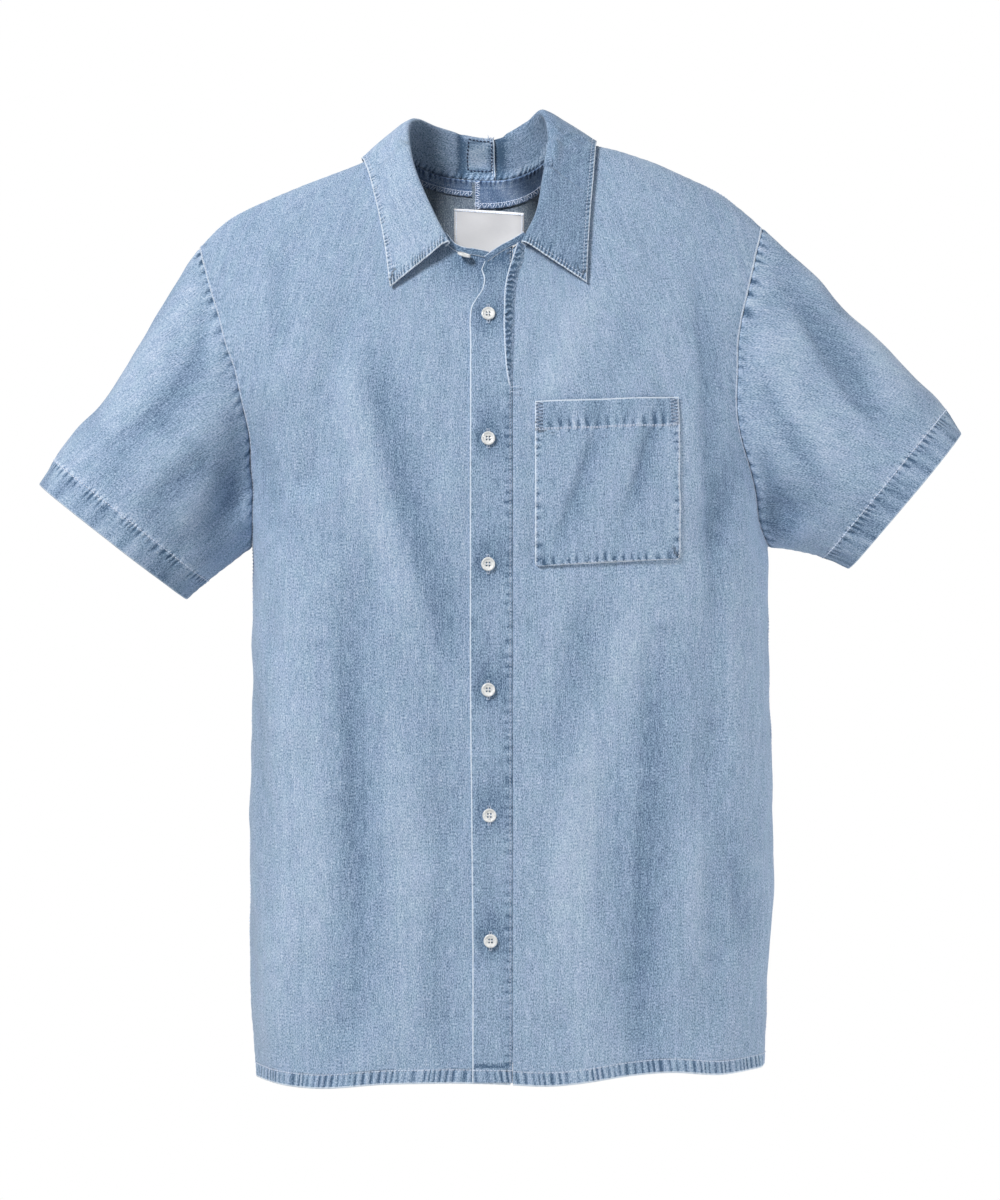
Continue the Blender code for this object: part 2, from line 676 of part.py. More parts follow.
# ---------------------------------------------------------------- pieces that lie on the panels

def patch(name, face, x, z, out, thick, colour=DENIM):
    """A wall over a grid of x and height on the form, its inner face moved out from the panel."""
    turn, over = place(x, z, face)
    lap = np.full_like(x, out + thick)
    points, normal = form(turn, over, lap)
    return wall(name, points, normal, thick, colour)


def make_placket():
    body = np.linspace(-0.740, -0.140, 16)
    z = np.concatenate([[HEM_Z, HEM_Z + BODY_HEM], body, [row[0] for row in PLACKET[PLACKET_BEND:]]])
    share = np.linspace(0, 1, 5)
    free, sewn = along(PLACKET, z, 1), along(PLACKET, z, 2)
    x = free[:, None] + (sewn - free)[:, None] * share[None, :]
    grid_z = np.broadcast_to(z[:, None], x.shape)
    (free_x, free_z), (sewn_x, sewn_z) = PLACKET_TOP
    x = np.concatenate([x, [free_x + (sewn_x - free_x) * share]])
    top = free_z + (sewn_z - free_z) * share
    slant = smooth_step(z, -0.150, PLACKET[-1][0])[:, None] * (top - free_z)[None, :]
    grid_z = np.concatenate([grid_z + slant * 0.8, [top]])
    return patch("placket", FRONT, x, grid_z, LAY, WALL)


def make_slit_band():
    z = np.linspace(SLIT_BAND[0][0], SLIT_BAND[-1][0], 10)
    left, right = along(SLIT_BAND, z, 1), along(SLIT_BAND, z, 2)
    share = np.linspace(0, 1, 3)
    x = left[:, None] + (right - left)[:, None] * share[None, :]
    grid_z = np.broadcast_to(z[:, None], x.shape)
    return patch("slit_band", FRONT, x, grid_z, LAY + LAP, TRIM)


def make_pocket():
    width = POCKET_X[1] - POCKET_X[0]
    rise = np.array([0, 0.25, 0.5, 1.0]) * POCKET_CORNER
    tall = POCKET_Z[1] - POCKET_Z[0]
    z = POCKET_Z[0] + np.concatenate([rise, np.linspace(0.025, tall - POCKET_HEM - 0.001, 5),
                                      [tall - POCKET_HEM, tall]])
    above = np.minimum(z - POCKET_Z[0], POCKET_CORNER)
    cut = POCKET_CORNER - np.sqrt(POCKET_CORNER ** 2 - (POCKET_CORNER - above) ** 2)
    share = np.linspace(0, 1, 9)
    x = (POCKET_X[0] + cut)[:, None] + (width - 2 * cut)[:, None] * share[None, :]
    grid_z = z[:, None] + (x - POCKET_X[0]) * POCKET_RISE
    return patch("pocket", FRONT, x, grid_z, LAY + POCKET_EASE, WALL)


def make_facing(name, side):
    x = np.linspace(FACING_X[side][0], FACING_X[side][1], 7)
    drop = np.linspace(FACING_DROP[side][1], FACING_DROP[side][0], 4)
    z = neck_z(x, BACK)[None, :] - drop[:, None]
    grid_x = np.broadcast_to(x, z.shape)
    return patch(name, BACK, grid_x, z, -LAP - WALL - LAY - TRIM, TRIM, NAVY)


def make_label():
    x = np.linspace(LABEL_X[0], LABEL_X[1], 5)
    z = np.linspace(LABEL_Z[0], LABEL_Z[1], 6)
    grid_x = np.broadcast_to(x, (6, 5))
    grid_z = np.broadcast_to(z[:, None], (6, 5))
    return patch("neck_label", BACK, grid_x, grid_z, -LAP - WALL - 2 * LAY - TRIM, TRIM, SATIN)


# ---------------------------------------------------------------- buttons

def round_profile(profile, steps):
    """A turned solid from radius and height pairs that start and end on the axis."""
    points, faces = [], []
    rings = []
    for radius, height in profile:
        if radius == 0:
            rings.append([len(points)])
            points.append((0.0, 0.0, height))
            continue
        ring = []
        for k in range(steps):
            angle = 2 * math.pi * k / steps
            ring.append(len(points))
            points.append((radius * math.cos(angle), radius * math.sin(angle), height))
        rings.append(ring)
    for low, high in zip(rings, rings[1:]):
        for k in range(steps):
            n = (k + 1) % steps
            if len(low) == 1:
                faces.append((low[0], high[n], high[k]))
            elif len(high) == 1:
                faces.append((low[k], low[n], high[0]))
            else:
                faces.append((low[k], low[n], high[n], high[k]))
    return points, faces


def make_button(name, frame):
    """A four-hole shirt button: a dished face inside a raised rim. frame's z is its front."""
    r, t = BUTTON_RADIUS, BUTTON_THICK
    profile = ((0, 0), (r * 0.8, 0), (r, t * 0.35), (r, t * 0.8), (r - BUTTON_RIM * 0.5, t),
               (r - BUTTON_RIM, t), (r - BUTTON_RIM * 1.6, t * 0.72), (0, t * 0.62))
    points, faces = round_profile(profile, BUTTON_SIDES)
    mesh = bpy.data.meshes.new(name)
    mesh.from_pydata(points, [], faces)
    thing = add_object(name, mesh, RESIN, 0.35)
    drills = []
    for k in range(4):
        angle = math.pi / 4 + k * math.pi / 2
        bore = ((0, -t), (BUTTON_HOLE, -t), (BUTTON_HOLE, 2 * t), (0, 2 * t))
        hole, hole_faces = round_profile(bore, HOLE_SIDES)
        shift = Vector((BUTTON_HOLE_OUT * math.cos(angle), BUTTON_HOLE_OUT * math.sin(angle), 0))
        cutter_mesh = bpy.data.meshes.new(name + "_drill")
        cutter_mesh.from_pydata([Vector(p) + shift for p in hole], [], hole_faces)
        cutter = bpy.data.objects.new(f"{name}_drill_{k}", cutter_mesh)
        bpy.context.scene.collection.objects.link(cutter)
        cut = thing.modifiers.new(f"hole_{k}", "BOOLEAN")
        cut.operation = "DIFFERENCE"
        cut.object = cutter
        drills.append(cutter)
    bpy.context.view_layer.update()
    whole = thing.evaluated_get(bpy.context.evaluated_depsgraph_get())
    drilled = bpy.data.meshes.new_from_object(whole)
    thing.modifiers.clear()
    drilled.transform(frame)
    thing.data = drilled
    for cutter in drills:
        bpy.data.objects.remove(cutter)
    return thing


def button_frame(x, z, out, tilt=0.0, lean=0.0):
    """A frame on the front at this x and height: z out of the cloth, x along it.
    tilt turns the button over, about an axis that leans from level."""
    turn, over = place(np.array([x]), np.array([z]), FRONT)
    point, normal = form(turn, over, np.array([out]))
    front = Vector(normal[0])
    across = Vector((1, 0, 0)) - front * front.x
    across.normalize()
    up = front.cross(across)
    turned = Matrix((across, up, front)).transposed().to_4x4()
    turned.translation = Vector(point[0])
    return turned @ Matrix.Rotation(tilt, 4, Vector((math.cos(lean), math.sin(lean), 0)))


def make_buttons():
    for k in range(BUTTON_COUNT):
        z = FIRST_BUTTON_Z - k * BUTTON_PITCH
        x = float(along(PLACKET, z, 1)) + BUTTON_SETBACK
        make_button(f"button_{k + 1}", button_frame(x, z, LAY + WALL + GAP))
    tilt, lean = math.radians(COLLAR_BUTTON_TILT), math.radians(COLLAR_BUTTON_LEAN)
    make_button("collar_button", button_frame(*COLLAR_BUTTON, tilt, lean))


# ---------------------------------------------------------------- the shirt

def main():
    for thing in list(bpy.data.objects):
        bpy.data.objects.remove(thing)
    for side, word in ((RIGHT, "right"), (LEFT, "left")):
        make_panel("front_" + word, side, FRONT)
        make_panel("back_" + word, side, BACK)
        make_sleeve("sleeve_" + word, side)
        make_collar("collar_" + word, side)
        make_facing("neck_facing_" + word, side)
    make_placket()
    make_slit_band()
    make_pocket()
    make_label()
    make_buttons()


main()
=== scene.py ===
# %% [markdown]
# # A denim shirt that keeps its worn shape
# The maker's solids already have the shirt's true form, with every piece of cloth as a plain wall.
# This lesson dresses them: each wall gets a fine shell of cloth on the same form, with its creases,
# gathers, stitches and weave. The solids stay underneath for the physics.

# %% Load the frame
import json
import math

import bmesh
import bpy
import numpy as np
from mathutils import Matrix, Vector

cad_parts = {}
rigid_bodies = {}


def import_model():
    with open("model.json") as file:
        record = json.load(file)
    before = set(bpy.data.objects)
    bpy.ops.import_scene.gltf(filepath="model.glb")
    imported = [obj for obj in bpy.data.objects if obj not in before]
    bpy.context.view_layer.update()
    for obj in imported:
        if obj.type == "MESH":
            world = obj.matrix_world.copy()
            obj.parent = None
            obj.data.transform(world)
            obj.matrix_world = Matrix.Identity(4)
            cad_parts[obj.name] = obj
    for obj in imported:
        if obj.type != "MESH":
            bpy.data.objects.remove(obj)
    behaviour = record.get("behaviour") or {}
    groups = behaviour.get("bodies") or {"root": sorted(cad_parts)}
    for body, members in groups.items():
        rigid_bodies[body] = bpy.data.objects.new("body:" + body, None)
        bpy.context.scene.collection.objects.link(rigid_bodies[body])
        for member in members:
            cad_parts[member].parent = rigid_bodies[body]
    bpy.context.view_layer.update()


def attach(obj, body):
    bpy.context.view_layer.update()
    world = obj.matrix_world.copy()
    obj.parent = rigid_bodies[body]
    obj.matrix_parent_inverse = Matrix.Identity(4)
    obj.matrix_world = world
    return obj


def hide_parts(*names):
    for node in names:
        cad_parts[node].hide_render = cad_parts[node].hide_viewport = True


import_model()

# %% [markdown]
# ## Camera and light
# A long lens from six metres away keeps the shirt's sides nearly parallel, as in a shop's studio.
# One big soft lamp stands to the left and above. Alone it would leave the folds black, so a white
# card low on the right lifts the shade. A rim lamp behind draws the edges, and a narrow one looks
# in at the neck.

# %% Camera
TARGET = Vector((0.0085, 0.0, -0.3638))
CAMERA_DISTANCE = 6.0
LENS_MM = 254.1


def finished_mesh(bm, name):
    """Writes a bmesh into a new mesh with smooth faces, and frees it."""
    for f in bm.faces:
        f.smooth = True
    mesh = bpy.data.meshes.new(name)
    bm.to_mesh(mesh)
    bm.free()
    return mesh


def add_object(name, data):
    thing = bpy.data.objects.new(name, data)
    bpy.context.scene.collection.objects.link(thing)
    return thing


def aim(thing, target):
    thing.rotation_euler = (target - thing.location).to_track_quat("-Z", "Y").to_euler()


camera = add_object("camera", bpy.data.cameras.new("camera"))
camera.location = TARGET + Vector((0, -CAMERA_DISTANCE, 0))
aim(camera, TARGET)
camera.data.lens = LENS_MM
camera.data.sensor_width = 36
camera.data.sensor_fit = "HORIZONTAL"
bpy.context.scene.camera = camera
bpy.context.scene.view_settings.view_transform = "Standard"
print("camera at", tuple(camera.location))

# %% Lamps
# Name, place, size in metres, watts.
LAMPS = (
    ("key", (-2.65, -3.05, 2.75), 1.4, 207),
    ("bounce card", (4.2, -1.0, -1.5), 2.4, 104),
    ("rim", (-0.6, 2.8, 2.4), 2.0, 30),
)
# The neck lamp looks over the front neckline, on to the label inside the back.
NECK_LAMP_PLACE = (-0.15, -3.9, 0.95)
NECK_LAMP_AIM = Vector((-0.002, 0.087, -0.046))
NECK_LAMP_WATTS = 690
NECK_LAMP_CONE = math.radians(1.05)
NECK_LAMP_BLEND = 0.2
NECK_LAMP_RADIUS = 0.012


def add_lamp(name, kind, place_at, watts, target=TARGET):
    lamp = add_object(name, bpy.data.lights.new(name, kind))
    lamp.location = place_at
    lamp.data.energy = watts
    aim(lamp, target)
    return lamp.data


for name, place_at, size, watts in LAMPS:
    add_lamp(name, "AREA", place_at, watts).size = size
neck_lamp = add_lamp("neck lamp", "SPOT", NECK_LAMP_PLACE, NECK_LAMP_WATTS, NECK_LAMP_AIM)
neck_lamp.spot_size = NECK_LAMP_CONE
neck_lamp.spot_blend = NECK_LAMP_BLEND
neck_lamp.shadow_soft_size = NECK_LAMP_RADIUS
print("lamps:", [row[0] for row in LAMPS] + ["neck lamp"])

# %% [markdown]
# ## Colours and nodes
# Every colour is written as the hex value that a screen shows, and one function turns it into the
# linear numbers that the renderer adds up. Nodes could be drawn in the editor, but here they can be
# read beside the cloth that they colour. One function adds a node, and one feeds it.

# %% Colour and node helpers
def linear(hex_colour):
    """A screen colour as linear red, green, blue and alpha, by the sRGB curve."""
    parts = [int(hex_colour[i:i + 2], 16) / 255 for i in (1, 3, 5)]
    parts = [p / 12.92 if p <= 0.04045 else ((p + 0.055) / 1.055) ** 2.4 for p in parts]
    return (*parts, 1.0)


def feed(node, **inputs):
    """Sets a node's inputs by name or number: a node or an output links, the rest are values."""
    for key, value in inputs.items():
        socket = node.inputs[int(key[1:]) if key[0] == "_" else key.replace("_", " ")]
        if isinstance(value, bpy.types.Node):
            value = value.outputs[0]
        if isinstance(value, bpy.types.NodeSocket):
            node.id_data.links.new(value, socket)
        else:
            socket.default_value = value
    return node


def add_node(tree, kind, settings=None, **inputs):
    """Adds a node, whose kind is written without ShaderNode, with its settings and inputs."""
    node = tree.nodes.new("ShaderNode" + kind)
    for key, value in (settings or {}).items():
        setattr(node, key, value)
    return feed(node, **inputs)


def new_material(name):
    material = bpy.data.materials.new(name)
    material.use_nodes = True
    tree = material.node_tree
    return material, tree, tree.nodes["Principled BSDF"]


print("white is", linear("#ffffff"))

# %% [markdown]
# ## Backdrop
# A studio hangs a roll of white paper. A model of it would show its edges from the side and throw
# white back on the cloth, so the camera sees a white world and the cloth a dimmer one. A paper disc
# below takes the shirt's shadow and fades into the white.

# %% Backdrop and floor
FLOOR_Z = -1.3
FLOOR_RADIUS = 1.6
FLOOR_SIDES = 96
FADE_FROM, FADE_TO = 0.35, 0.98
WORLD_LIGHT = 0.22


def make_world():
    world = bpy.data.worlds.new("studio")
    bpy.context.scene.world = world
    world.use_nodes = True
    tree = world.node_tree
    tree.nodes.clear()
    path = add_node(tree, "LightPath")
    seen = add_node(tree, "Math", {"operation": "MAXIMUM"},
                    _0=path.outputs["Is Camera Ray"], _1=path.outputs["Is Glossy Ray"])
    seen = add_node(tree, "Math", {"operation": "MAXIMUM"},
                    _0=seen, _1=path.outputs["Is Transmission Ray"])
    light = add_node(tree, "Background", Color=linear("#f4f7fb"), Strength=WORLD_LIGHT)
    white = add_node(tree, "Background", Color=linear("#ffffff"), Strength=1.0)
    both = add_node(tree, "MixShader", _0=seen, _1=light, _2=white)
    add_node(tree, "OutputWorld", Surface=both)


def make_floor():
    """A pale disc under the shirt that catches its shadow and melts into the white round it."""
    bm = bmesh.new()
    bmesh.ops.create_circle(bm, cap_ends=True, segments=FLOOR_SIDES, radius=FLOOR_RADIUS)
    bmesh.ops.translate(bm, verts=bm.verts, vec=(0, 0, FLOOR_Z))
    mesh = finished_mesh(bm, "floor")
    floor = add_object("floor", mesh)
    material, tree, shader = new_material("matt white paper")
    feed(shader, Base_Color=linear("#f2f2f0"), Roughness=0.9)
    where = add_node(tree, "TexCoord")
    flat = add_node(tree, "VectorMath", {"operation": "MULTIPLY"},
                    _0=where.outputs["Object"], _1=(1 / FLOOR_RADIUS, 1 / FLOOR_RADIUS, 0))
    out = add_node(tree, "VectorMath", {"operation": "LENGTH"}, _0=flat)
    fade = add_node(tree, "MapRange", {"interpolation_type": "SMOOTHSTEP"},
                    Value=out.outputs["Value"], From_Min=FADE_FROM, From_Max=FADE_TO)
    path = add_node(tree, "LightPath")
    glow = add_node(tree, "Math", {"operation": "MULTIPLY"}, _0=fade, _1=path.outputs["Is Camera Ray"])
    white = add_node(tree, "Emission", Color=linear("#ffffff"), Strength=1.0)
    both = add_node(tree, "MixShader", _0=glow, _1=shader, _2=white)
    feed(tree.nodes["Material Output"], Surface=both)
    mesh.materials.append(material)


make_world()
make_floor()
print("floor at", FLOOR_Z)

# %% [markdown]
# ## The form
# A worn shirt keeps the round shape of the body it has left. That could be sculpted, but every
# piece of cloth has to be laid on it by its own edges, so a formula serves better: sections across
# the trunk, rounded over at the shoulder line. A point has two angles. `turn` goes round from the
# middle to each side seam, and `over` goes down from the shoulder line, positive in front. The
# tables are the maker's own sizes, so the cloth lies exactly on the solids.

# %% Layers and heights
# Thickness of the cloth, the least air between parts, a solid's wall, and the air in a lap.
CLOTH = 0.001
GAP = 0.0003
WALL = 0.0012
LAY = 0.0007
LAP = WALL + LAY
HEM_Z = -0.766
UNDERARM_Z = -0.319
NECK_FRONT_Z = -0.0745
NECK_BACK_Z = -0.005
SHOULDER_ROUND = 0.12
RIGHT, LEFT = -1, 1
FRONT, BACK = 1, -1
NECK_X = {RIGHT: -0.075, LEFT: 0.057}
TIP_X = {RIGHT: -0.246, LEFT: 0.231}

print("a lap stands out by", LAP)

# %% Sections of the trunk
# Height, middle in x, half width, front depth, back depth, squareness.
TRUNK = (
    (-0.766, 0.018, 0.2155, 0.125, 0.119, 2.4),
    (-0.73, 0.0175, 0.217, 0.125, 0.118, 2.4),
    (-0.69, 0.0165, 0.219, 0.126, 0.117, 2.4),
    (-0.62, 0.018, 0.2215, 0.126, 0.114, 2.4),
    (-0.45, 0.0173, 0.2195, 0.127, 0.11, 2.4),
    (-0.33, 0.0172, 0.2185, 0.126, 0.111, 2.4),
    (-0.25, 0.012, 0.219, 0.121, 0.113, 2.4),
    (-0.18, 0.0, 0.235, 0.107, 0.112, 2.4),
    (-0.1, -0.005, 0.248, 0.079, 0.1, 2.4),
    (-0.05, -0.007, 0.256, 0.063, 0.082, 2.4),
    (0.0, -0.008, 0.262, 0.056, 0.062, 2.4),
    (0.06, -0.008, 0.265, 0.054, 0.058, 2.4),
)
MIDDLE, HALF_WIDTH, FRONT_DEPTH, BACK_DEPTH, SQUARENESS = 1, 2, 3, 4, 5
print("half widths:", [row[HALF_WIDTH] for row in TRUNK])

# %% Lines of the shoulders, hem and armholes
# The line along the top of the shoulders and level across the neck: x, height.
SHOULDER_LINE = (
    (-0.29, -0.11),
    (-0.246, -0.064),
    (-0.221, -0.041),
    (-0.187, -0.023),
    (-0.153, -0.01),
    (-0.11, 0.008),
    (-0.075, 0.02),
    (0.0, 0.027),
    (0.057, 0.033),
    (0.094, 0.021),
    (0.136, 0.008),
    (0.17, -0.005),
    (0.204, -0.024),
    (0.231, -0.047),
    (0.28, -0.1),
)

# The hem's height, which dips and lifts a little: x, front height, back height.
HEM_LINE = (
    (-0.205, -0.765, -0.765),
    (-0.18, -0.77, -0.767),
    (-0.15, -0.772, -0.768),
    (-0.085, -0.767, -0.766),
    (0.0, -0.766, -0.764),
    (0.05, -0.768, -0.765),
    (0.12, -0.76, -0.767),
    (0.153, -0.758, -0.766),
    (0.195, -0.761, -0.762),
    (0.236, -0.757, -0.757),
)

# The seam round the arm: share of the way down from shoulder to underarm, right x, left x.
ARMHOLE = (
    (0.0, -0.246, 0.231),
    (0.15, -0.236, 0.2205),
    (0.31, -0.2235, 0.211),
    (0.45, -0.213, 0.208),
    (0.61, -0.205, 0.2085),
    (0.76, -0.201, 0.2185),
    (0.88, -0.1995, 0.2265),
)
print("hem to shoulder:", SHOULDER_LINE[6][1] - HEM_Z)

# %% [markdown]
# ### Folds
# Cloth that hangs from shoulders falls in long soft folds. A cloth simulation would find folds too,
# but never the ones this shirt has, so each is placed as one row: where it starts, where it ends,
# how wide it is, and how far it lifts (a ridge) or sinks (a trough). No two are alike.

# %% Folds of the body
# face, x at top, height at top, x at bottom, height at bottom, width, lift.
FOLDS = (
    (FRONT, -0.098, -0.21, -0.128, -0.74, 0.022, -0.005),
    (FRONT, -0.04, -0.33, -0.034, -0.76, 0.016, -0.003),
    (FRONT, -0.165, -0.3, -0.178, -0.7, 0.018, 0.004),
    (FRONT, 0.08, -0.34, 0.132, -0.76, 0.02, -0.006),
    (FRONT, 0.06, -0.42, 0.084, -0.76, 0.018, 0.004),
    (FRONT, 0.182, -0.33, 0.188, -0.7, 0.02, -0.004),
    (FRONT, -0.12, -0.09, -0.15, -0.26, 0.018, -0.0035),
    (FRONT, 0.175, -0.11, 0.15, -0.2, 0.018, -0.003),
    (BACK, -0.12, -0.24, -0.112, -0.75, 0.024, -0.006),
    (BACK, -0.02, -0.3, -0.026, -0.76, 0.02, 0.0035),
    (BACK, 0.092, -0.22, 0.104, -0.76, 0.026, -0.0065),
    (BACK, 0.165, -0.34, 0.172, -0.74, 0.018, 0.004),
)
print("folds:", len(FOLDS))

# %% Smooth curves through a table
def smooth_between(xs, ys, x):
    """The values or grid lines ys that belong to xs, on smooth curves between them, at x."""
    slope = np.gradient(ys, xs, axis=0)
    i = np.clip(np.searchsorted(xs, x) - 1, 0, len(xs) - 2)
    span = xs[i + 1] - xs[i]
    t = (x - xs[i]) / span
    if ys.ndim > 1:
        span, t = span[:, None, None], t[:, None, None]
    ends = ys[i] * (1 + 2 * t) * (1 - t) ** 2 + ys[i + 1] * t * t * (3 - 2 * t)
    return ends + span * t * (1 - t) * (slope[i] * (1 - t) - slope[i + 1] * t)


def along(rows, x, column):
    """A table's column, smooth between its rows, at x in its first column."""
    table = np.array(rows, dtype=float)
    xs = table[:, 0]
    return smooth_between(xs, table[:, column], np.clip(x, xs[0], xs[-1]))


def smooth_step(x, start, end):
    """0 before start and 1 after end, with soft ends."""
    t = np.clip((x - start) / (end - start), 0.0, 1.0)
    return t * t * (3 - 2 * t)


print("half width at the waist:", along(TRUNK, -0.45, HALF_WIDTH).round(4))

# %% The form with its folds
def fall_to_drop(fall):
    """How far below the shoulder line a point lies, from its angle over the shoulder."""
    below = SHOULDER_ROUND * (1 + fall - math.pi / 2)
    return np.where(fall < math.pi / 2, SHOULDER_ROUND * (1 - np.cos(fall)), below)


def drop_to_fall(drop):
    """The angle over the shoulder that lies this far below the shoulder line."""
    curve = np.arccos(np.clip(1 - drop / SHOULDER_ROUND, 0.0, 1.0))
    return np.where(drop < SHOULDER_ROUND, curve, math.pi / 2 + drop / SHOULDER_ROUND - 1)


def bare_form(turn, over):
    """The form with no folds."""
    z = np.zeros_like(turn + over)
    fall = np.abs(over)
    for _ in range(6):
        x = along(TRUNK, z, MIDDLE) + along(TRUNK, z, HALF_WIDTH) * np.sin(turn)
        z = along(SHOULDER_LINE, x, 1) - fall_to_drop(fall)
    power = along(TRUNK, z, SQUARENESS)
    flank = np.sign(np.cos(turn)) * np.abs(1 - np.abs(np.sin(turn)) ** power) ** (1 / power)
    front = along(TRUNK, z, FRONT_DEPTH)
    back = along(TRUNK, z, BACK_DEPTH)
    depth = np.where(over >= 0, front, back) * np.sin(np.minimum(fall, math.pi / 2))
    return np.stack([x, -np.sign(over) * depth * flank, z], axis=-1)


def unit(vectors):
    return vectors / np.maximum(np.linalg.norm(vectors, axis=-1, keepdims=True), 1e-12)


def fold_height(point, over):
    """How far the long folds lift or sink the cloth at a point."""
    x, z = point[..., 0], point[..., 2]
    lift = np.zeros_like(x)
    for face, x_top, z_top, x_low, z_low, width, depth in FOLDS:
        t = (z_top - z) / (z_top - z_low)
        off = (x - x_top - (x_low - x_top) * t) / width
        ends = smooth_step(t, 0.0, 0.3) * (1 - smooth_step(t, 1.0, 1.15))
        lift += np.where(np.sign(over) == face, depth * ends * np.exp(-off * off), 0.0)
    return lift


def form(turn, over, out=0.0):
    """Points of the form with its folds, moved out along the surface, and the directions out."""
    step = 0.002
    point = bare_form(turn, over)
    across = bare_form(turn + step, over) - bare_form(turn - step, over)
    down = bare_form(turn, over + step) - bare_form(turn, over - step)
    normal = unit(np.cross(down, across))
    return point + normal * (fold_height(point, over) + out)[..., None], normal


print("chest front at", form(np.array([0.0]), np.array([2.0]))[0].round(3))

# %% Places on the form
def place(x, z, face):
    """turn and over of the form's point at this x and height, in front or behind."""
    reach = (x - along(TRUNK, z, MIDDLE)) / along(TRUNK, z, HALF_WIDTH)
    drop = np.maximum(along(SHOULDER_LINE, x, 1) - z, 0.0)
    return np.arcsin(np.clip(reach, -1.0, 1.0)), face * drop_to_fall(drop)


def hem_z(x, face):
    """Height of the hem at x."""
    return along(HEM_LINE, x, 1 if face == FRONT else 2)


def neck_swing(angle):
    """How far out the neck seam lies at an angle from the middle: 0 there, 1 at the shoulder."""
    return np.sin(angle) * np.sqrt(1 + np.cos(angle) ** 2)


def neck_angle(side, x):
    """The angle from the middle at which the neck seam reaches x."""
    outward = x * side
    reach = abs(NECK_X[side] if outward > 0 else NECK_X[-side])
    angle = math.pi / 2 - math.asin((1 - (outward / reach) ** 2) ** 0.25)
    return math.copysign(angle, outward)


def neck_z(x, face):
    """Height of the neck seam at x."""
    half = np.where(x < 0, NECK_X[RIGHT], NECK_X[LEFT])
    top = along(SHOULDER_LINE, half, 1)
    low = NECK_FRONT_Z if face == FRONT else NECK_BACK_Z
    return top - (top - low) * np.sqrt(np.clip(1 - (x / half) ** 2, 0.0, 1.0))


print("neck seam in front at", float(neck_z(0.0, FRONT)))

# %% [markdown]
# ## Cloth from a grid
# A woven piece is a grid of warp and weft. Cut out of one body-shaped mesh, its threads would run
# straight over the seams, so each piece starts as Blender's own flat grid. Its points are then
# carried onto the form, as a cutter lays cloth on a dress stand. A UV map in metres goes with it, so
# the weave keeps its real size, and a float attribute tells the material where the cloth is rubbed
# pale or stays dark, and where light and shade are painted on: above 0 paler, below 0 darker.
# Solidify gives the thickness.

# %% Measuring a grid
def reaches(points):
    """Distances along the cloth from a grid's low, top, start and end edges."""
    up = np.linalg.norm(np.diff(points, axis=0), axis=-1)
    across = np.linalg.norm(np.diff(points, axis=1), axis=-1)
    low = np.concatenate([np.zeros((1, points.shape[1])), np.cumsum(up, axis=0)])
    start = np.concatenate([np.zeros((points.shape[0], 1)), np.cumsum(across, axis=1)], axis=1)
    return low, low[-1:] - low, start, start[:, -1:] - start


def wander(s, seed):
    """A smooth uneven curve along s, between about -1 and 1 and different for each seed."""
    rng = np.random.default_rng(seed)
    rate = rng.uniform(0.7, 2.6, 5)
    phase = rng.uniform(0, 2 * math.pi, 5)
    return np.sin(np.asarray(s)[..., None] * rate + phase).sum(axis=-1) / 2.6


def bell(distance, width):
    """1 at no distance, dying away within about twice the width."""
    return np.exp(-(distance / width) ** 2)


print("uneven:", wander(np.linspace(0, 3, 5), 1).round(2))

# %% From grid to mesh to piece
def sheet_mesh(name, points, outward, uv, seam, pull, wear, closed=False):
    """A mesh on Blender's grid, carried to the points. A closed one is joined into a tube."""
    rows, columns = points.shape[:2]
    bm = bmesh.new()
    bmesh.ops.create_grid(bm, x_segments=columns - 1, y_segments=rows - 1, size=0.5)
    mesh = finished_mesh(bm, name)
    mesh.vertices.foreach_set("co", points.astype(np.float32).ravel())
    corner = np.empty(len(mesh.loops), dtype=np.int32)
    mesh.loops.foreach_get("vertex_index", corner)
    for title, where in (("cloth", uv), ("seam", seam)):
        layer = mesh.uv_layers.new(name=title)
        layer.data.foreach_set("uv", where.reshape(-1, 2)[corner].astype(np.float32).ravel())
    # The second attribute carries rubbed wear, painted light and painted shade.
    for title, value in (("pull", pull), ("wear", wear)):
        attribute = mesh.attributes.new(title, "FLOAT", "POINT")
        attribute.data.foreach_set("value", value.astype(np.float32).ravel())
    mesh.update()
    facing = np.empty(len(mesh.polygons) * 3)
    mesh.polygons.foreach_get("normal", facing)
    first = np.empty(len(mesh.polygons), dtype=np.int32)
    mesh.polygons.foreach_get("loop_start", first)
    agree = (facing.reshape(-1, 3) * outward.reshape(-1, 3)[corner[first]]).sum()
    bm = bmesh.new()
    bm.from_mesh(mesh)
    if agree < 0:
        bmesh.ops.reverse_faces(bm, faces=bm.faces)
    if closed:
        bmesh.ops.remove_doubles(bm, verts=bm.verts, dist=0.00001)
    bm.to_mesh(mesh)
    bm.free()
    return mesh


def add_piece(name, mesh, materials, nodes=(), thick=CLOTH):
    """Puts a mesh in the scene on the one body there is, and hides the solids it stands for."""
    piece = add_object(name, mesh)
    for material in materials:
        mesh.materials.append(material)
    if thick:
        wall = piece.modifiers.new("thickness", "SOLIDIFY")
        wall.thickness = thick
        wall.offset = -1
        wall.material_offset = 1 if len(materials) > 1 else 0
    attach(piece, "root")
    if nodes:
        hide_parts(*nodes)
    return piece


print("thickness of cloth:", CLOTH)

# %% [markdown]
# ## Thread
# A stitch seen from outside is a short fat dash that dives into the cloth at both ends. Painted on,
# it would have no height of its own, and a curve for the whole thread would cost too many faces for
# thousands of stitches. A stretched twenty-faced ball is enough for one. They are laid along a path
# with a gap between them, and all the stitches of one colour are one mesh.

# %% Lines for stitches
STITCH_PITCH = 0.0029
STITCH_LENGTH = 0.0023
THREAD = 0.00048


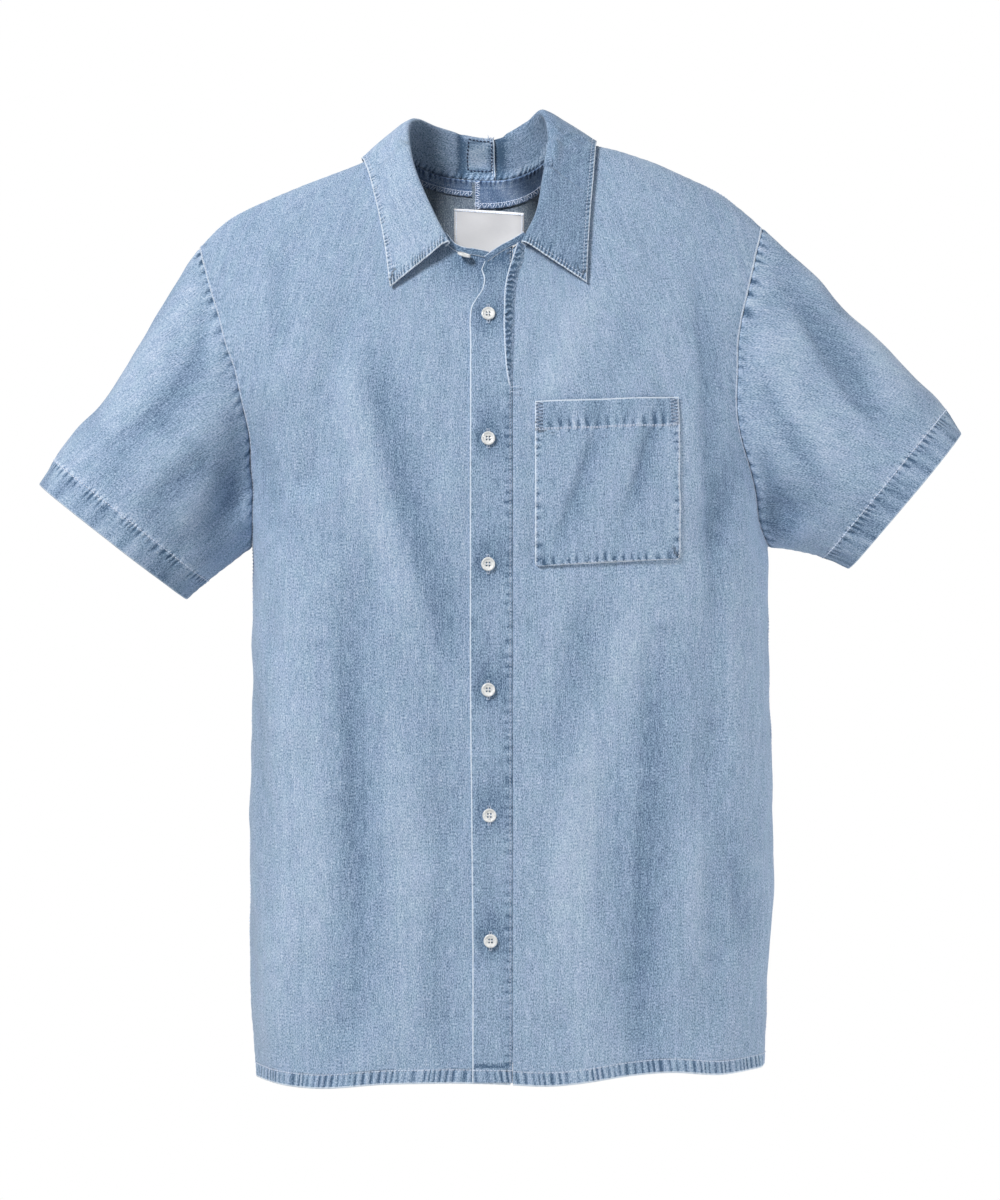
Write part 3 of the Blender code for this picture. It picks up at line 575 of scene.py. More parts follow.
def trace(points, normals, field, value, by_row, keep=slice(None)):
    """Where field reaches value on each grid line that is kept: rows when by_row, else columns."""
    if not by_row:
        points, normals, field = points.swapaxes(0, 1), normals.swapaxes(0, 1), field.T
    path, out = [], []
    for p, n, f in zip(points[keep], normals[keep], field[keep]):
        if f[0] > f[-1]:
            p, n, f = p[::-1], n[::-1], f[::-1]
        path.append([np.interp(value, f, p[:, k]) for k in range(3)])
        out.append([np.interp(value, f, n[:, k]) for k in range(3)])
    return np.array(path), unit(np.array(out))


def spaced(path, normals, pitch, start=0.0):
    """Points, directions along and directions out at even steps of a path."""
    step = np.linalg.norm(np.diff(path, axis=0), axis=-1)
    reach = np.concatenate([[0.0], np.cumsum(step)])
    at = np.arange(start, reach[-1], pitch)
    point = np.stack([np.interp(at, reach, path[:, k]) for k in range(3)], axis=-1)
    ahead = np.stack([np.interp(at + pitch / 4, reach, path[:, k]) for k in range(3)], axis=-1)
    behind = np.stack([np.interp(at - pitch / 4, reach, path[:, k]) for k in range(3)], axis=-1)
    out = unit(np.stack([np.interp(at, reach, normals[:, k]) for k in range(3)], axis=-1))
    return point, unit(ahead - behind), out


print("length of a stitch:", STITCH_LENGTH)

# %% Thread
class Thread:
    """Collects the stitches of one kind of thread and makes them one mesh."""

    def __init__(self):
        self.bm = bmesh.new()

    def stitch(self, point, run, out, length=STITCH_LENGTH, radius=THREAD, sink=0.25):
        """One stitch at a point, along run, standing out of the cloth."""
        across = np.cross(out, run)
        centre = point + out * radius * (1 - sink)
        frame_of = Matrix((
            (run[0] * length / 2, across[0] * radius, out[0] * radius, centre[0]),
            (run[1] * length / 2, across[1] * radius, out[1] * radius, centre[1]),
            (run[2] * length / 2, across[2] * radius, out[2] * radius, centre[2]),
            (0, 0, 0, 1),
        ))
        bmesh.ops.create_icosphere(self.bm, subdivisions=1, radius=1.0, matrix=frame_of)

    def seam(self, path, normals, pitch=STITCH_PITCH, length=STITCH_LENGTH, radius=THREAD, sink=0.25):
        for point, run, out in zip(*spaced(path, normals, pitch, pitch / 2)):
            self.stitch(point, run, out, length, radius, sink)

    def serge(self, path, normals, width, pitch=0.0023, radius=0.0003):
        """Overlocking: stitches slanting across an edge, every third the other way, and a chain."""
        for k, (point, run, out) in enumerate(zip(*spaced(path, normals, pitch, 0))):
            across = np.cross(out, run)
            lean = -0.6 if k % 3 == 0 else 1.3
            slant = unit(across * width + run * pitch * lean)
            self.stitch(point, slant, out, width, radius, sink=0.2)
            chain = point + across * width * 0.46
            self.stitch(chain, run, out, pitch * 1.05, radius, sink=0.1)

    def finish(self, name, material):
        mesh = finished_mesh(self.bm, name)
        print(name, len(mesh.polygons), "faces")
        return add_piece(name, mesh, [material], thick=0)


print("radius of the thread:", THREAD)

# %% [markdown]
# ## Denim
# Light washed denim has a blue warp over a white weft, so close to it is a speckle of pale and blue
# dots in short upright streaks with a slanting twill rib. Washing rubs the ridges at seams and edges
# nearly white and leaves their valleys dark. A painted texture would repeat, and its wear would miss
# the seams, so the shader draws both. The mesh tells it where: the seam map's first number counts
# the gathers along a seam, and its second is the distance to a worn edge.

# %% Patterns of cloth
# Width and height of each kind of spot. A thread of 0.4 mm is too fine to show, so the speckle is
# drawn two threads wide.
SPECKLE = (0.0009, 0.0016)
STREAK = (0.001, 0.013)
SLUB = (0.005, 0.0012)
DYE_BAND = (0.006, 0.11)
FADED_SPOT = (0.07, 0.09)
BLOTCH = (0.009, 0.015)
RUBBED_SPOT = (0.006, 0.006)
TINT_SPOT = (0.014, 0.026)
TWILL_PITCH = 0.0016
TWILL_SLANT = math.radians(63)


def spots(tree, where, size):
    """Smooth random spots of that width and height in metres, from about -0.5 to 0.5."""
    scaled = add_node(tree, "VectorMath", {"operation": "MULTIPLY"},
                      _0=where, _1=(1 / size[0], 1 / size[1], 1.0))
    grain = add_node(tree, "TexNoise", Vector=scaled, Scale=1.0, Detail=2.0, Roughness=0.5)
    return add_node(tree, "Math", {"operation": "SUBTRACT"}, _0=grain, _1=0.5)


def twill_rib(tree, uv):
    """A wave across the twill's slanting ribs."""
    across = (math.sin(TWILL_SLANT), -math.cos(TWILL_SLANT), 0.0)
    across = tuple(2 * math.pi / TWILL_PITCH * part for part in across)
    rib = add_node(tree, "VectorMath", {"operation": "DOT_PRODUCT"}, _0=uv, _1=across)
    return add_node(tree, "Math", {"operation": "SINE"}, _0=rib.outputs["Value"])


def combine(tree, *terms):
    """The sum of value times weight, over pairs of a socket or node and its weight."""
    total = None
    for value, weight in terms:
        inputs = {"_0": value, "_1": weight, "_2": total if total is not None else 0.0}
        total = add_node(tree, "Math", {"operation": "MULTIPLY_ADD"}, **inputs)
    return total


print("ribs of twill every", TWILL_PITCH)

# %% Marks of the seams
VALLEY_POWER = 3.0
EDGE_WIDTH = 0.0009


def seam_marks(tree, uv):
    """Ridges, valleys and a rubbed edge, where a piece's seam map and pull say they are."""
    seam = add_node(tree, "UVMap", {"uv_map": "seam"})
    parts = add_node(tree, "SeparateXYZ", Vector=seam)
    pull = add_node(tree, "Attribute", {"attribute_name": "pull"}).outputs["Fac"]
    turn = add_node(tree, "Math", {"operation": "MULTIPLY"}, _0=parts.outputs["X"], _1=2 * math.pi)
    swing = add_node(tree, "Math", {"operation": "SINE"}, _0=turn)
    ridge = add_node(tree, "Math", {"operation": "MULTIPLY"}, _0=swing, _1=pull)
    valley = add_node(tree, "Math", {"operation": "MULTIPLY_ADD"}, _0=swing, _1=-0.5, _2=0.5)
    valley = add_node(tree, "Math", {"operation": "POWER"}, _0=valley, _1=VALLEY_POWER)
    valley = add_node(tree, "Math", {"operation": "MULTIPLY"}, _0=valley, _1=pull)
    edge = add_node(tree, "MapRange", {"interpolation_type": "SMOOTHSTEP"},
                    Value=parts.outputs["Y"], From_Min=EDGE_WIDTH * 0.5, From_Max=EDGE_WIDTH * 1.5,
                    To_Min=1.0, To_Max=0.0)
    rubbed = add_node(tree, "MapRange", Value=spots(tree, uv, RUBBED_SPOT),
                      From_Min=-0.2, From_Max=0.0, To_Min=0.6, To_Max=1.0)
    edge = add_node(tree, "Math", {"operation": "MULTIPLY"}, _0=edge, _1=rubbed)
    return ridge, valley, edge


print("a rubbed edge:", EDGE_WIDTH)

# %% Materials of cloth
OLD_INDIGO = (0.965, 1.008, 0.98)
RUBBED_WHITE = "#e8f3ff"


def cloth_material(name, dark, middle, light, weave=1.0, gather=0.26):
    """Woven cotton whose colour runs from dark valleys to pale rubbed ridges. weave is how
    strongly its threads show, and gather how strongly its ridges and valleys do."""
    material, tree, shader = new_material(name)
    uv = add_node(tree, "UVMap", {"uv_map": "cloth"}).outputs["UV"]
    # Rubbed wear, painted light and painted shade from the mesh: above 0 paler, below 0 darker.
    wear = add_node(tree, "Attribute", {"attribute_name": "wear"}).outputs["Fac"]
    speckle, streak, slub = (spots(tree, uv, size) for size in (SPECKLE, STREAK, SLUB))
    band, faded, blotch = (spots(tree, uv, size) for size in (DYE_BAND, FADED_SPOT, BLOTCH))
    rib = twill_rib(tree, uv)
    ridge, valley, edge = seam_marks(tree, uv)
    tone = combine(tree, (speckle, 1.8 * weave), (streak, 0.72 * weave), (slub, 0.2 * weave),
                   (rib, 0.03 * weave), (band, 0.24), (faded, 0.07), (blotch, 0.13), (wear, 0.34),
                   (ridge, gather * 0.4), (valley, -gather * 1.5), (edge, 0.5))
    tone = add_node(tree, "Math", {"operation": "ADD"}, _0=tone, _1=0.5)
    ramp = add_node(tree, "ValToRGB", Fac=tone)
    ramp.color_ramp.elements[0].color = linear(dark)
    ramp.color_ramp.elements[1].color = linear(light)
    ramp.color_ramp.elements.new(0.5).color = linear(middle)
    tint = add_node(tree, "MapRange", Value=spots(tree, uv, TINT_SPOT), From_Min=-0.15, From_Max=0.15)
    tinted = add_node(tree, "VectorMath", {"operation": "MULTIPLY"}, _0=ramp, _1=OLD_INDIGO)
    colour = add_node(tree, "Mix", {"data_type": "RGBA"}, _0=tint, _6=ramp, _7=tinted)
    whiter = add_node(tree, "Math", {"operation": "MULTIPLY"}, _0=edge, _1=0.92)
    colour = add_node(tree, "Mix", {"data_type": "RGBA"}, _0=whiter,
                      _6=colour.outputs[2], _7=linear(RUBBED_WHITE))
    relief = combine(tree, (speckle, 0.00022 * weave), (streak, 0.00008 * weave),
                     (rib, 0.00002 * weave), (ridge, 0.0003))
    bump = add_node(tree, "Bump", Height=relief, Strength=1.0, Distance=1.0)
    feed(shader, Base_Color=colour.outputs[2], Normal=bump, Roughness=0.88,
         Specular_IOR_Level=0.18, Sheen_Weight=0.15, Sheen_Roughness=0.5)
    return material


DENIM = cloth_material("washed denim", "#506a88", "#9fb6d4", "#dce7f8")
# The inside is greyer than the face, as denim's weft side is, and darker, as painted shade for the dim
# inside of the shirt.
DENIM_INSIDE_SHADED = cloth_material("denim inside with painted shade", "#48566a", "#7d8b9d", "#bbc5d0", gather=0.15)
DARK_DENIM = cloth_material("dark denim", "#3c5275", "#7189ae", "#b9c8dc", weave=0.8)
print("cloth:", [m.name for m in bpy.data.materials if "denim" in m.name])

# %% [markdown]
# ## Creases
# Worn cloth keeps soft dents from hanging and from the arms. They could be sculpted, but a row in
# a table can be measured and moved: the side it is on, three points it runs through in x and height,
# its width, how far it lifts or sinks, and its lean, which makes one flank steeper. Below them the
# whole cloth has a faint unevenness of its own.

# %% Creases of the body
CREASES = (
    (FRONT, (-0.106, -0.125), (-0.068, -0.29), (-0.02, -0.44), 0.015, -0.004, 0.35),
    (FRONT, (-0.128, -0.13), (-0.098, -0.27), (-0.06, -0.4), 0.016, 0.0022, -0.2),
    (FRONT, (-0.127, -0.34), (-0.113, -0.54), (-0.109, -0.745), 0.013, -0.0026, 0.35),
    (FRONT, (-0.15, -0.42), (-0.146, -0.56), (-0.14, -0.74), 0.014, 0.0018, 0.0),
    (FRONT, (-0.181, -0.06), (-0.179, -0.11), (-0.176, -0.165), 0.01, -0.002, 0.3),
    (FRONT, (-0.078, -0.44), (-0.07, -0.58), (-0.074, -0.73), 0.014, 0.0014, 0.0),
    (FRONT, (-0.19, -0.36), (-0.196, -0.5), (-0.186, -0.64), 0.01, -0.0014, 0.2),
    (FRONT, (-0.05, -0.6), (-0.048, -0.68), (-0.046, -0.755), 0.01, -0.0014, 0.3),
    (FRONT, (0.172, -0.06), (0.184, -0.23), (0.19, -0.42), 0.011, -0.003, 0.4),
    (FRONT, (0.148, -0.09), (0.158, -0.24), (0.166, -0.38), 0.013, 0.0016, 0.0),
    (FRONT, (0.136, -0.4), (0.13, -0.56), (0.121, -0.75), 0.015, -0.004, 0.45),
    (FRONT, (0.128, -0.35), (0.086, -0.5), (0.046, -0.7), 0.017, 0.0026, 0.2),
    (FRONT, (0.076, -0.35), (0.064, -0.43), (0.048, -0.53), 0.011, -0.0022, 0.35),
    (FRONT, (0.192, -0.54), (0.206, -0.6), (0.219, -0.67), 0.011, -0.0024, 0.35),
    (FRONT, (0.168, -0.53), (0.172, -0.61), (0.175, -0.71), 0.01, 0.0018, 0.0),
    (FRONT, (0.196, -0.33), (0.202, -0.42), (0.208, -0.52), 0.009, 0.0012, 0.0),
    (FRONT, (0.094, -0.085), (0.066, -0.15), (0.032, -0.21), 0.015, 0.0024, 0.2),
    (FRONT, (0.12, -0.11), (0.112, -0.15), (0.096, -0.19), 0.012, -0.0016, 0.2),
    (FRONT, (0.094, -0.205), (0.075, -0.265), (0.052, -0.33), 0.008, -0.0034, 0.35),
    (FRONT, (0.139, -0.205), (0.128, -0.245), (0.108, -0.31), 0.008, -0.0034, 0.35),
    (FRONT, (0.21, -0.23), (0.2, -0.275), (0.18, -0.33), 0.012, -0.0026, 0.1),
    (FRONT, (-0.2, -0.215), (-0.186, -0.265), (-0.16, -0.33), 0.012, -0.0022, 0.1),
    (BACK, (-0.15, -0.09), (-0.12, -0.23), (-0.086, -0.38), 0.014, -0.0034, 0.3),
    (BACK, (0.14, -0.1), (0.122, -0.25), (0.094, -0.4), 0.015, -0.0036, -0.3),
    (BACK, (-0.07, -0.42), (-0.078, -0.58), (-0.082, -0.745), 0.014, -0.003, 0.3),
    (BACK, (-0.16, -0.38), (-0.166, -0.54), (-0.16, -0.73), 0.015, 0.0022, 0.0),
    (BACK, (0.06, -0.4), (0.066, -0.56), (0.058, -0.74), 0.014, 0.0022, 0.1),
    (BACK, (0.142, -0.44), (0.15, -0.59), (0.148, -0.745), 0.012, -0.0028, -0.3),
    (BACK, (-0.198, -0.24), (-0.18, -0.3), (-0.15, -0.37), 0.012, -0.0026, 0.1),
    (BACK, (0.205, -0.25), (0.186, -0.31), (0.158, -0.38), 0.012, -0.0024, -0.1),
    (BACK, (0.026, -0.1), (0.018, -0.24), (0.022, -0.4), 0.013, 0.0016, 0.0),
    (BACK, (-0.192, -0.42), (-0.196, -0.56), (-0.19, -0.7), 0.01, -0.0016, 0.2),
)
print("creases of the body:", len(CREASES))

# %% Creases of the sleeves
SLEEVE_CREASES = (
    (FRONT, (-0.226, -0.085), (-0.262, -0.182), (-0.335, -0.245), 0.012, -0.0042, 0.3),
    (FRONT, (-0.246, -0.085), (-0.29, -0.16), (-0.35, -0.222), 0.013, 0.0022, 0.0),
    (FRONT, (-0.232, -0.24), (-0.262, -0.262), (-0.3, -0.29), 0.01, -0.0024, 0.2),
    (FRONT, (-0.205, -0.25), (-0.222, -0.29), (-0.25, -0.33), 0.01, -0.0028, 0.1),
    (FRONT, (0.244, -0.08), (0.292, -0.165), (0.348, -0.24), 0.013, -0.0042, 0.35),
    (FRONT, (0.216, -0.11), (0.25, -0.185), (0.3, -0.262), 0.014, 0.0026, 0.0),
    (FRONT, (0.226, -0.165), (0.25, -0.22), (0.288, -0.285), 0.01, -0.0026, 0.3),
    (FRONT, (0.214, -0.235), (0.232, -0.275), (0.262, -0.315), 0.014, -0.0042, 0.1),
    (FRONT, (0.268, -0.09), (0.322, -0.15), (0.372, -0.205), 0.012, 0.0016, 0.0),
    (BACK, (-0.228, -0.1), (-0.27, -0.19), (-0.33, -0.27), 0.013, -0.0038, 0.3),
    (BACK, (-0.214, -0.21), (-0.246, -0.262), (-0.296, -0.31), 0.012, -0.0028, 0.1),
    (BACK, (0.236, -0.1), (0.286, -0.19), (0.345, -0.262), 0.013, -0.004, 0.3),
    (BACK, (0.222, -0.21), (0.25, -0.262), (0.3, -0.305), 0.012, -0.003, 0.1),
)
print("creases of the sleeves:", len(SLEEVE_CREASES))

# %% What the creases lift
CREASE_STEPS = 10


def crease_height(x, z, face, table):
    """How far the creases lift or sink the cloth at x and height z, on the front or the back."""
    lift = np.zeros_like(x)
    t = np.linspace(0, 1, CREASE_STEPS + 1)
    for side, first, middle, last, width, depth, lean in table:
        a, b, c = (np.array(p) for p in (first, middle, last))
        bend = 2 * b - (a + c) / 2
        way = a + 2 * np.outer(t * (1 - t), bend - a) + np.outer(t * t, c - a)
        low, high = way.min(axis=0) - 3 * width, way.max(axis=0) + 3 * width
        near = (face == side) & (x > low[0]) & (x < high[0]) & (z > low[1]) & (z < high[1])
        if not near.any():
            continue
        spot = np.stack([x[near], z[near]], axis=-1)
        best = np.full(len(spot), 1e9)
        at = np.zeros(len(spot))
        hand = np.zeros(len(spot))
        for k in range(CREASE_STEPS):
            run = way[k + 1] - way[k]
            share = ((spot - way[k]) @ run) / (run @ run)
            low_end = -0.5 if k == 0 else 0.0
            high_end = 1.5 if k == CREASE_STEPS - 1 else 1.0
            share = np.clip(share, low_end, high_end)
            off = spot - way[k] - share[:, None] * run
            gap = np.hypot(off[:, 0], off[:, 1])
            closer = gap < best
            best = np.where(closer, gap, best)
            at = np.where(closer, (k + share) / CREASE_STEPS, at)
            hand = np.where(closer, np.sign(off[:, 0] * -run[1] + off[:, 1] * run[0]), hand)
        ends = smooth_step(at, -0.04, 0.3) * (1 - smooth_step(at, 0.68, 1.04))
        broad = width * (1 + lean * hand)
        lift[near] += depth * ends * np.exp(-(best / broad) ** 2)
    return lift


print("deepest crease:", min(row[5] for row in CREASES))

# %% Wrinkles, fading and painted crease shade
WRINKLES = 26
WRINKLE_LENGTHS = (0.02, 0.085)
MIDDLE_WRINKLE = 0.045
WRINKLE_LIFT = 0.00016
CREASE_TONE_HEIGHT = 0.0062


def wrinkle_waves():
    """Waves of random length and direction, mostly across the shirt, as hanging cloth has."""
    rng = np.random.default_rng(11)
    length = rng.uniform(*WRINKLE_LENGTHS, WRINKLES)
    way = unit(rng.normal(size=(WRINKLES, 3)) * np.array([1.0, 0.7, 0.45]))
    size = WRINKLE_LIFT * length / MIDDLE_WRINKLE
    return way * (2 * math.pi / length)[:, None], rng.uniform(0, 2 * math.pi, WRINKLES), size


WAVES = wrinkle_waves()


def wrinkles(point):
    """How far the faint waves lift or sink the cloth at a point."""
    way, phase, size = WAVES
    return (np.sin(point @ way.T + phase) * size).sum(axis=-1)


def creased(point, turn, over):
    """How far the creases lift or sink the body's cloth at a point of the form."""
    calm = smooth_step(np.abs(over), 0.1, 0.55) * smooth_step(np.cos(turn), 0.05, 0.35)
    face = np.where(over >= 0, FRONT, BACK)
    return crease_height(point[..., 0], point[..., 2], face, CREASES) * calm


def cloth(turn, over, out=0.0):
    """Points of the worn cloth, and the directions out of it."""
    point, normal = form(turn, over)
    lift = creased(point, turn, over) + wrinkles(point)
    return point + normal * (lift + out)[..., None], normal


def fading_and_crease_shade(turn, over):
    """Tone from the creases: ridges rubbed pale and hollows left blue, partly as painted light and
    shade.
    """
    point, _ = form(turn, over)
    height = creased(point, turn, over) + 0.3 * fold_height(point, over) + 0.3 * wrinkles(point)
    return np.clip(height / CREASE_TONE_HEIGHT, -0.7, 0.35)


print("wrinkles:", WRINKLES)

# %% [markdown]
# ## What a seam does to cloth
# A seam shrinks a little in the wash and gathers the cloth beside it into small ridges. A bump
# would draw them, but with no shadow at the edge of the cloth, so they are in the mesh. Each piece
# keeps one record of its seams. A seam adds gathers, which die away from it, and an edge adds the
# pale line where it is rubbed.

# %% A piece's record of its seams
GATHER_DEPTH = 0.00045
FULL_PITCH = 0.0075
FAR = 0.05


class Seams:
    """What the seams do to each point of one piece."""

    def __init__(self, points):
        self.points = points
        self.shape = points.shape[:2]
        self.pull = np.zeros(self.shape)
        self.count = np.zeros(self.shape)
        self.depth = np.zeros(self.shape)
        self.nearness = np.full(self.shape, -10.0)
        self.edge = np.full(self.shape, FAR)
        # Rubbed wear, painted light and painted shade: above 0 paler, below 0 darker.
        self.wear = np.zeros(self.shape)
        self.low, self.top, self.start, self.end = reaches(points)

    def gather(self, run, away, seed, pitch, reach, strength, slant=0.0, least=0.35):
        """Ridges of that pitch along run, dying out with the distance away from the seam.
        Each has a reach of its own, and their strength comes and goes but stays above least."""
        count = (run + slant * away) / pitch
        count = count + 0.4 * wander(count / 2.5, seed) + 0.16 * wander(count * 0.9, seed + 1)
        swell = np.clip(0.85 + 0.38 * wander(count / 1.7, seed + 2), least, 1.25)
        ragged = reach * np.clip(0.85 + 0.3 * wander(count * 1.3, seed + 3), 0.45, 1.15)
        pull = strength * swell * (1 - smooth_step(away / ragged, 0.25, 1.0))
        nearness = pull - away - (np.asarray(strength) == 0)
        nearest = nearness > self.nearness
        self.depth = np.where(nearest, GATHER_DEPTH * min(pitch / FULL_PITCH, 1.0), self.depth)
        self.count = np.where(nearest, count, self.count)
        self.pull = np.where(nearest, pull, self.pull)
        self.nearness = np.maximum(nearness, self.nearness)

    def rub(self, away):
        """A pale rubbed edge at no distance away."""
        self.edge = np.minimum(self.edge, away)

    def lift(self):
        """How far the gathers lift or sink each point."""
        return self.depth * self.pull * np.sin(2 * math.pi * self.count)


print("a gather is at most", GATHER_DEPTH, "high")

# %% Grooves and turned hems
FOLD_RADIUS = CLOTH * 1.06


def groove(away, width, depth):
    """A dip along a seam or a row of stitches."""
    return -depth * bell(away, width)


def turned_hem(grids, points, normals, depth):
    """Folds the cloth at a grid's low edge up behind itself. grids are the values it carries."""
    low = reaches(points)[0].mean(axis=1)
    inside = np.flatnonzero(low <= depth)[::-1]
    way = unit(points[0] - points[1])
    centre = points[0] - normals[0] * FOLD_RADIUS
    fold = []
    for degrees in (135, 90, 45):
        angle = math.radians(degrees)
        fold.append(centre + (normals[0] * math.cos(angle) + way * math.sin(angle)) * FOLD_RADIUS)
    back = points[inside] - normals[inside] * 2 * FOLD_RADIUS
    rows = np.concatenate([back, np.array(fold), points])
    keep = np.concatenate([inside, [0, 0, 0], np.arange(len(points))])
    out = np.concatenate([-normals[inside], np.repeat(way[None], 3, axis=0), normals])
    return [g[keep] for g in grids], rows, out


print("radius of a fold:", FOLD_RADIUS)

# %% [markdown]
# ## From grid to piece of cloth
# Every piece goes the same way: its grid on the form, the seams' work on it, a fold at its hem where
# it has one, then the mesh.

# %% Sewing and dressing one grid
THREAD_PALE = Thread()
THREAD_NAVY = Thread()


def sew(points, normals, field, away, by_row, keep=slice(None), **stitch):
    """Pale stitches along a grid, at that distance from the seam or edge of the field."""
    THREAD_PALE.seam(*trace(points, normals, field, away, by_row, keep), **stitch)


def dress(node, seams, normals, extra=0.0, hem=0.0, closed=False, inside=True,
          materials=None, offset=(0.0, 0.0), thick=CLOTH,
          stands_for=None):
    """Lifts a grid by its seams, folds its hem and puts it in the scene. Returns its points."""
    name = node + "_cloth"
    points = seams.points + normals * (seams.lift() + extra)[..., None]
    uv = np.stack([seams.start + offset[0], seams.low + offset[1]], axis=-1)
    seam = np.stack([seams.count, seams.edge], axis=-1)
    carried = [uv, seam, seams.pull, np.clip(seams.wear, -1.8, 1.4)]
    rows, out = points, normals
    if hem:
        carried, rows, out = turned_hem(carried, points, normals, hem)
    mesh = sheet_mesh(name, rows, out, *carried, closed=closed)
    if materials is None:
        materials = [DENIM, DENIM_INSIDE_SHADED] if inside else [DENIM]
    nodes = [node] if stands_for is None else stands_for
    piece = add_piece(name, mesh, materials, nodes, thick)
    return points


# %% [markdown]
# ### Fronts and backs
# Two fronts and two backs, each one flat cut from shoulder to hem. The left back laps over the right
# one, as on a shirt that opens behind for someone who is helped to dress. They could be cut from one
# tube, but its grid would leave ragged edges, so each is drawn from its own four edges and meets its
# neighbours point for point. A panel's threads start level with the middle, so its weave runs plumb
# there and the sides fan out with the body.

# %% Edges of a panel
HAIR = 0.0001


def armhole(side, share):
    """turn and over of the arm seam in front, share 1 at the underarm and 0 at the shoulder."""
    drop = (1 - np.cos(math.pi * share)) / 2
    tip_z = float(along(SHOULDER_LINE, TIP_X[side], 1))
    z = tip_z - drop * (tip_z - UNDERARM_Z)
    end_x = along(TRUNK, UNDERARM_Z, MIDDLE) + side * along(TRUNK, UNDERARM_Z, HALF_WIDTH)
    column = 1 if side == RIGHT else 2
    x = along(ARMHOLE + ((1.0, end_x, end_x),), drop, column)
    turn, over = place(x, z, FRONT)
    turn = np.where(drop > 1 - HAIR, side * math.pi / 2, turn)
    return turn, np.where(share < HAIR, 0.0, over)



# Where each panel ends at the middle: the fronts lap under the placket, the backs over each other.
PANEL_EDGE_X = {
    (RIGHT, FRONT): 0.017,
    (LEFT, FRONT): 0.0193,
    (RIGHT, BACK): 0.005,
    (LEFT, BACK): -0.035,
}
LAP_START_X = -0.052
LAP_FULL_X = -0.04
HEM_SINK = (0.7, 0.745)
UNDERARM_V = 0.6
NECK_U = {(RIGHT, FRONT): 0.5, (LEFT, FRONT): 0.4, (RIGHT, BACK): 0.48, (LEFT, BACK): 0.5}
PLUMB_X = {RIGHT: LAP_START_X, LEFT: 0.035}


def panel_edges(side, face, u, v):
    """turn and over along a panel's four edges: hem and top at u, middle and side at v."""
    edge_x = PANEL_EDGE_X[side, face]
    first = neck_angle(side, edge_x)
    plumb = neck_angle(side, PLUMB_X[side])
    split = NECK_U[side, face]
    angle = first + (math.pi / 2 - first) * np.minimum(u / split, 1.0)
    rest = np.clip((u - split) / (1 - split), 0.0, 1.0)
    neck_x = side * neck_swing(angle) * np.where(angle > 0, abs(NECK_X[side]), abs(NECK_X[-side]))
    top_x = neck_x + rest * (TIP_X[side] - NECK_X[side])
    top_z = np.where(rest > 0, along(SHOULDER_LINE, top_x, 1), neck_z(neck_x, face))
    top = place(top_x, top_z, face)
    plumb_u = split * (plumb - first) / (math.pi / 2 - first)
    fan = np.clip((u - plumb_u) / (1 - plumb_u), 0.0, 1.0)
    low_x = np.where(fan > 0, PLUMB_X[side], neck_x)
    hem_turn, _ = place(low_x, np.full_like(u, HEM_Z), face)
    hem_turn = hem_turn + fan * (side * math.pi / 2 - hem_turn)
    hem_x = along(TRUNK, HEM_Z, MIDDLE) + along(TRUNK, HEM_Z, HALF_WIDTH) * np.sin(hem_turn)
    hem_turn, hem_over = place(hem_x, hem_z(hem_x, face), face)
    hem = np.where(u > 1 - HAIR, side * math.pi / 2, hem_turn), hem_over
    low = np.minimum(v / UNDERARM_V, 1.0)
    high = np.clip((v - UNDERARM_V) / (1 - UNDERARM_V), 0.0, 1.0)
    mid_x = np.full_like(v, edge_x)
    start = hem_z(mid_x, face)
    mid_z = start + low * (UNDERARM_Z - start) + high * (neck_z(mid_x, face) - UNDERARM_Z)
    middle = place(mid_x, mid_z, face)
    start = hem_z(hem_x[-1], face)
    climb = start + low * (UNDERARM_Z - start)
    side_x = along(TRUNK, climb, MIDDLE) + side * along(TRUNK, climb, HALF_WIDTH)
    seam_turn = np.full_like(v, side * math.pi / 2)
    seam_over = place(side_x, climb, face)[1]
    arm_turn, arm_over = armhole(side, 1 - high)
    flank = np.where(high > 0, arm_turn, seam_turn), np.where(high > 0, face * arm_over, seam_over)
    return hem, top, middle, flank


def panel_domain(side, face, u, v):
    """turn and over of a panel's points, blended from its edges.
    The neck's and shoulder's bend dies away a short way down, so that the cloth below is smooth."""
    hem, top, middle, flank = panel_edges(side, face, u, v)
    domain = []
    for axis in (0, 1):
        h, t, m, f = hem[axis], top[axis], middle[axis], flank[axis]
        low_bend = h - ((1 - u) * h[0] + u * h[-1])
        top_bend = t - ((1 - u) * t[0] + u * t[-1])
        level = (1 - u)[None, :] * m[:, None] + u[None, :] * f[:, None]
        low_share = ((1 - v) ** 2)[:, None]
        top_share = (v ** 4)[:, None]
        domain.append(level + low_share * low_bend[None, :] + top_share * top_bend[None, :])
    return domain


def lapped_under(point, side, face):
    """How far out a panel lies: the right back goes under the left back where they lap."""
    x, z = point[..., 0], point[..., 2]
    if (side, face) != (RIGHT, BACK):
        return np.zeros_like(x)
    depth = LAP + WALL * smooth_step(-z, *HEM_SINK)
    return -depth * smooth_step(x, LAP_START_X, LAP_FULL_X)


print("deepest under the lap:", round(LAP + WALL, 4))

# %% Rows and columns of a panel
PANEL_COLUMNS = {FRONT: 144, BACK: 124}
PANEL_WIDTH = 0.29
NEAR_SEAM = np.array([0.0042, 0.0028, 0.0016, 0.0007, 0.0])
CLOSE_COLUMNS = 0.006
BODY_HEM = 0.0105
HEM_STEP = 0.0012
CLOSE_ROWS = 0.0135
BODY_ROWS = 122
ARM_ROWS = 108


